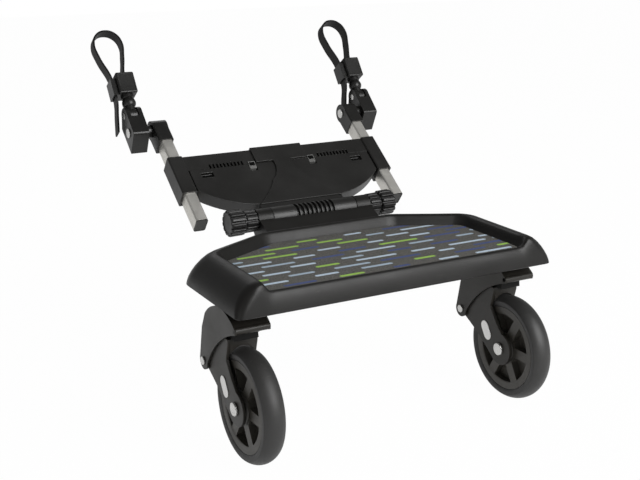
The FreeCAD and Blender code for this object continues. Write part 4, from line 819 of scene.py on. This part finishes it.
# %% [markdown]
# The grip mat is a cut sheet in the well with rounded corners. Its print is on the top face only, and the
# cut edges and the underside are pale grey, which shows as a thin light line along the near lip, so the
# faces get two finishes by which way they point.

# %% Grip mat
MAT_CORNER_ROUNDING = 6 * MM
MAT_CORNER_STEPS = 5
MAT_EDGE_ROUNDING = 0.5 * MM
UPRIGHT = 0.99


def round_upright_edges(piece, width, segments):
    """Bevel the edges that stand upright."""
    only(piece)
    bpy.ops.object.mode_set(mode="EDIT")
    bpy.ops.mesh.select_mode(type="EDGE")
    edit = bmesh.from_edit_mesh(piece.data)
    for edge in edit.edges:
        along = (edge.verts[1].co - edge.verts[0].co).normalized()
        edge.select_set(abs(along.z) > UPRIGHT)
    bmesh.update_edit_mesh(piece.data)
    bpy.ops.mesh.bevel(offset=width, segments=segments, affect="EDGES")
    bpy.ops.object.mode_set(mode="OBJECT")


def make_grip_mat():
    piece = joined_copy("grip_mat")
    round_upright_edges(piece, MAT_CORNER_ROUNDING, MAT_CORNER_STEPS)
    apply(piece, "BEVEL", width=MAT_EDGE_ROUNDING, segments=2, limit_method="ANGLE", angle_limit=HARD_FROM)
    even_shading(piece)
    stand_for(piece, "grip_mat")
    piece.data.materials.append(FINISH["mat_edge"])
    for face in piece.data.polygons:
        face.material_index = 0 if face.normal.z > LEVEL else 1
    print(piece.name, len(piece.data.polygons))


make_grip_mat()

# %% [markdown]
# Between each fork and its hood sits a block of rubber, the suspension. It is waisted, so that it can bulge
# when the fork presses it. A copy of its solid is divided into small faces and drawn in below the middle.

# %% Suspension blocks
BLOCK_CUTS = 7
BLOCK_WAIST = 0.12
BLOCK_WAIST_FROM = 0.25
BLOCK_ROUNDING = 0.8 * MM


def make_suspension_block(side):
    node = f"suspension_block_{side}"
    low, high = (Vector(corner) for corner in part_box(node))
    middle = (low + high) / 2
    piece = joined_copy(node)
    bpy.ops.object.mode_set(mode="EDIT")
    bpy.ops.mesh.select_all(action="SELECT")
    bpy.ops.mesh.subdivide(number_cuts=BLOCK_CUTS)
    bpy.ops.object.mode_set(mode="OBJECT")
    for vertex in piece.data.vertices:
        climb = (vertex.co.z - low.z) / (high.z - low.z)
        share = BLOCK_WAIST_FROM + (1 - BLOCK_WAIST_FROM) * climb
        waist = math.sin(math.pi * share) * BLOCK_WAIST
        vertex.co.x += (middle.x - vertex.co.x) * waist
        vertex.co.y += (middle.y - vertex.co.y) * waist
    apply(piece, "BEVEL", width=BLOCK_ROUNDING, segments=3, limit_method="ANGLE",
          angle_limit=CURVED_HARD_FROM)
    even_shading(piece)
    stand_for(piece, node)
    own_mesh(piece)


for side in SIDES:
    make_suspension_block(side)

# %% [markdown]
# The hood over each wheel ends in a rolled lip, thicker than the hood's wall, which catches the light
# under the board. It is a bar with rounded ends that lies in the hood's near edge, from one cheek to the
# other. Its top runs into the slope of the hood, so only its round front can be told from the hood.

# %% Rolled lips of the hoods
LIP_STEPS = 32
LIP_RADIUS = 4 * MM
LIP_BEHIND_EDGE = 2.5 * MM
LIP_HEIGHT = 150.5 * MM
LIP_END_ROUNDING = 1.6 * MM


def make_hood_lip(side):
    low, high = (Vector(corner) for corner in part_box(f"caster_bracket_{side}"))
    bpy.ops.object.select_all(action="DESELECT")
    bpy.ops.mesh.primitive_cylinder_add(
        vertices=LIP_STEPS, radius=LIP_RADIUS, depth=high.x - low.x, rotation=(0, math.pi / 2, 0),
        location=((low.x + high.x) / 2, low.y + LIP_BEHIND_EDGE, LIP_HEIGHT))
    lip = bpy.context.object
    lip.name = f"hood_lip_{side}"
    bpy.ops.object.transform_apply(location=True, rotation=True, scale=True)
    apply(lip, "BEVEL", width=LIP_END_ROUNDING, segments=4, limit_method="ANGLE", angle_limit=HARD_FROM)
    even_shading(lip)
    lip.data.materials.append(FINISH["caster_plastic"])
    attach(lip, BODY_OF[f"caster_bracket_{side}"])
    print(lip.name, len(lip.data.polygons), [round(value, 4) for value in lip.dimensions])


for side in SIDES:
    make_hood_lip(side)

# %% [markdown]
# Under each fork's bridge hangs a web that follows the tyre's round tread, with some two millimetres of
# play. It is a block between the legs that is divided into columns, and the foot of every column is pulled
# down by as much as the tread falls away there.

# %% Webs of the forks
WEB_CUTS = 9
WEB_NEAR = -163.6 * MM
WEB_DEPTH = 4 * MM
WEB_TOP = 129 * MM
WEB_FOOT = 124.6 * MM
WEB_HALF_WIDTH = 14 * MM
TREAD_HALF_WIDTH = 12.5 * MM
TREAD_FALL = 5.5 * MM
WEB_ROUNDING = 0.6 * MM


def make_fork_web(side):
    low, high = (Vector(corner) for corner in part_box(f"fork_{side}"))
    middle = (low.x + high.x) / 2
    bpy.ops.object.select_all(action="DESELECT")
    bpy.ops.mesh.primitive_cube_add(
        size=1, location=(middle, WEB_NEAR + WEB_DEPTH / 2, (WEB_TOP + WEB_FOOT) / 2),
        scale=(2 * WEB_HALF_WIDTH, WEB_DEPTH, WEB_TOP - WEB_FOOT))
    web = bpy.context.object
    web.name = f"fork_web_{side}"
    bpy.ops.object.transform_apply(location=True, rotation=True, scale=True)
    bpy.ops.object.mode_set(mode="EDIT")
    bpy.ops.mesh.select_all(action="SELECT")
    bpy.ops.mesh.subdivide(number_cuts=WEB_CUTS)
    bpy.ops.object.mode_set(mode="OBJECT")
    for vertex in web.data.vertices:
        from_top = (WEB_TOP - vertex.co.z) / (WEB_TOP - WEB_FOOT)
        vertex.co.z -= from_top * TREAD_FALL * ((vertex.co.x - middle) / TREAD_HALF_WIDTH) ** 2
    apply(web, "BEVEL", width=WEB_ROUNDING, segments=2, limit_method="ANGLE",
          angle_limit=CURVED_HARD_FROM)
    even_shading(web)
    web.data.materials.append(FINISH["caster_plastic"])
    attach(web, BODY_OF[f"fork_{side}"])
    print(web.name, len(web.data.polygons), [round(value, 4) for value in web.dimensions])


for side in SIDES:
    make_fork_web(side)

# %% [markdown]
# Each strap is a flat band of tough rubber with a raised border on both faces. By hand one would draw its
# line as a Bezier curve, turn that into a chain of edges, pull the chain sideways into a ribbon of three
# lanes, give the ribbon its thickness, and raise the two outer lanes. The line starts in the buckle's mouth,
# goes round the pear-shaped loop, down through the keeper, and ends in a tail that hangs straight down.

# %% The line of a strap
KNUCKLE_PLACE = {"left": Vector((-0.1655, 0.16490, 0.31734)), "right": Vector((0.1655, 0.16490, 0.31734))}
STRAP_LINE_MM = (
    # across and up the buckle, from the mouth round the loop to the keeper
    (2, 49.5), (2.1, 57), (7.6, 82), (9.9, 103), (3.5, 115.2), (-8, 119.4), (-19.6, 115.2), (-26.2, 103),
    (-24, 82), (-15.6, 54), (-15.15, 46), (-15.15, 30), (-15.15, 22),
)
STRAP_TAIL_MM = 41
STRAP_NEAR_EDGE_MM = -4.5
STRAP_LINE_STEPS = 8


def strap_line(side):
    """The strap's middle line at its near edge, as a chain of edges."""
    def spot(across, up):
        return (KNUCKLE_PLACE[side] + Vector((across * MM, 0, 0)) + INTO_BUCKLE * (STRAP_NEAR_EDGE_MM * MM)
                + UP_BUCKLE * (up * MM))

    spots = [spot(*point) for point in STRAP_LINE_MM]
    spots.append(spots[-1] + Vector((0, 0, -STRAP_TAIL_MM * MM / 2)))
    spots.append(spots[-2] + Vector((0, 0, -STRAP_TAIL_MM * MM)))
    bpy.ops.object.select_all(action="DESELECT")
    bpy.ops.curve.primitive_bezier_curve_add(location=(0, 0, 0))
    line = bpy.context.object
    line.name = f"strap_{side}_band"
    line.data.resolution_u = STRAP_LINE_STEPS
    points = line.data.splines[0].bezier_points
    points.add(len(spots) - len(points))
    for point, place in zip(points, spots):
        point.co = place
        point.handle_left_type = "AUTO"
        point.handle_right_type = "AUTO"
    bpy.ops.object.convert(target="MESH")
    return bpy.context.object


print("points of the line", len(STRAP_LINE_MM))

# %% [markdown]
# The band then grows from its line: sideways through the three lanes, outwards on both faces by half its
# thickness, and a little more in the outer lanes, which are the raised borders.

# %% Straps
STRAP_LANES_MM = (1.8, 10.4, 1.8)
STRAP_CORE_MM = 1.6
STRAP_BORDER_MM = 0.4
STRAP_ROUNDING = 0.3 * MM
SIDEWAYS = 0.5


def make_strap(side):
    piece = strap_line(side)
    only(piece)
    bpy.ops.object.mode_set(mode="EDIT")
    bpy.ops.mesh.select_mode(type="EDGE")
    bpy.ops.mesh.select_all(action="SELECT")
    for lane in STRAP_LANES_MM:
        bpy.ops.mesh.extrude_region_move(TRANSFORM_OT_translate={"value": INTO_BUCKLE * (lane * MM)})
    bpy.ops.mesh.select_all(action="SELECT")
    bpy.ops.mesh.normals_make_consistent(inside=False)
    bpy.ops.object.mode_set(mode="OBJECT")
    apply(piece, "SOLIDIFY", thickness=STRAP_CORE_MM * MM, offset=0.0, use_even_offset=True)
    near = INTO_BUCKLE.dot(KNUCKLE_PLACE[side]) + STRAP_NEAR_EDGE_MM * MM
    lanes = (near + STRAP_LANES_MM[0] * MM, near + (STRAP_LANES_MM[0] + STRAP_LANES_MM[1]) * MM)
    for face in piece.data.polygons:
        depth = INTO_BUCKLE.dot(face.center)
        broad = abs(face.normal.dot(INTO_BUCKLE)) < SIDEWAYS and len(face.vertices) == 4
        face.select = broad and not lanes[0] < depth < lanes[1]
    bpy.ops.object.mode_set(mode="EDIT")
    bpy.ops.mesh.select_mode(type="FACE")
    bpy.ops.mesh.extrude_region_shrink_fatten(TRANSFORM_OT_shrink_fatten={"value": STRAP_BORDER_MM * MM})
    bpy.ops.mesh.select_all(action="SELECT")
    bpy.ops.mesh.normals_make_consistent(inside=False)
    bpy.ops.object.mode_set(mode="OBJECT")
    apply(piece, "BEVEL", width=STRAP_ROUNDING, segments=2, limit_method="ANGLE",
          angle_limit=CURVED_HARD_FROM)
    even_shading(piece)
    stand_for(piece, f"strap_{side}")
    print(piece.name, len(piece.data.polygons), [round(value, 4) for value in piece.dimensions])


for side in SIDES:
    make_strap(side)

# %% [markdown]
# The knobs are moulded with two rows of coarse teeth for the hand, a slim row beside the hinge and a wider
# crown at the end, and a smooth waist between them. One could pull every other face out of a cylinder, but
# the teeth of the real knob are rounded and run out softly at the ends. So the rings that drew the board
# draw the knob too: each ring is a toothed circle, and the table gives its tip and its root.

# %% Clamping knobs
KNOB_TEETH = 13
TOOTH_FORM = (
    # share of the pitch, share of the tooth's height
    (0.0, 0.0), (0.1, 0.0), (0.17, 0.6), (0.24, 0.92), (0.34, 1.0), (0.5, 1.02), (0.66, 1.0), (0.76, 0.92),
    (0.83, 0.6), (0.9, 0.0),
)
KNOB_RINGS_MM = (
    # distance from the hinge's end of the knob, tip radius, root radius
    (0, 5, 5), (0, 12.4, 11.4), (0.9, 13.5, 11.6), (13.4, 13.8, 11.6), (14.6, 13, 11.6), (15, 11.9, 11.5),
    (16.3, 11.9, 11.5), (16.6, 14.3, 12.6), (17.6, 15.6, 13.1), (33, 15.9, 13.1), (34.7, 15.2, 13),
    (35.4, 13.9, 12.6), (35.5, 12, 11.8), (35, 11.4, 11.3), (34.6, 10.9, 10.9), (34.6, 4, 4),
)
KNOB_SMOOTH_BELOW = math.radians(48)
HINGE_HEIGHT = 0.209


def knob_ring(inner_end, sign, distance, tip, root):
    """One toothed ring of a knob, in metres."""
    ring = []
    for tooth in range(KNOB_TEETH):
        for place, height in TOOTH_FORM:
            turn = math.tau * (tooth + place) / KNOB_TEETH
            radius = (root + (tip - root) * height) * MM
            ring.append(Vector((inner_end + sign * distance * MM, radius * math.cos(turn),
                                HINGE_HEIGHT + radius * math.sin(turn))))
    return ring


for side in SIDES:
    low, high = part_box(f"knob_{side}")
    inner_end = low[0] if SIGN[side] > 0 else high[0]
    rings = [knob_ring(inner_end, SIGN[side], *ring) for ring in KNOB_RINGS_MM]
    knob = drawn_by_rings(f"knob_{side}_moulded", rings)
    even_shading(knob, KNOB_SMOOTH_BELOW)
    stand_for(knob, f"knob_{side}")
    print(knob.name, len(knob.data.polygons), "inner end", round(inner_end, 4))

# %% [markdown]
# Between the buckle's block and its knuckle sits a swelling and a collar, turned in one piece. The rings
# that drew the board draw this too: circles across the buckle's axis, wider and narrower as they climb.

# %% Buckle necks
NECK_RINGS_MM = (
    # height above the knuckle, radius
    (11.6, 6.02), (12.4, 7.2), (14.2, 8.3), (17, 8.8), (19.8, 8.4), (22, 7.3), (23, 6.5), (23.5, 7.6),
    (24, 8.1), (27.3, 8.1),
)
NECK_STEPS = 40


def neck_ring(side, height, radius):
    middle = KNUCKLE_PLACE[side] + UP_BUCKLE * (height * MM)
    turns = [math.tau * step / NECK_STEPS for step in range(NECK_STEPS)]
    return [middle + (Vector((math.cos(turn), 0, 0)) + INTO_BUCKLE * math.sin(turn)) * (radius * MM)
            for turn in turns]


for side in SIDES:
    neck = drawn_by_rings(f"buckle_neck_{side}", [neck_ring(side, *ring) for ring in NECK_RINGS_MM])
    even_shading(neck)
    neck.data.materials.append(FINISH["connector_plastic"])
    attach(neck, BODY_OF[f"buckle_{side}"])
    print(neck.name, len(neck.data.polygons))

# %% [markdown]
# A few solids are hidden inside others, such as the bearings, the hinge rod and the screws. Their plain
# turned shapes are right as they are, so they stay, and every solid gets the finish of its slot.

# %% Finishes of the solids that stay as they are
for node, solid in frame["nodes"].items():
    solid.data.materials.clear()
    solid.data.materials.append(FINISH[SLOT_OF[node]])
print("solids finished", len(frame["nodes"]))
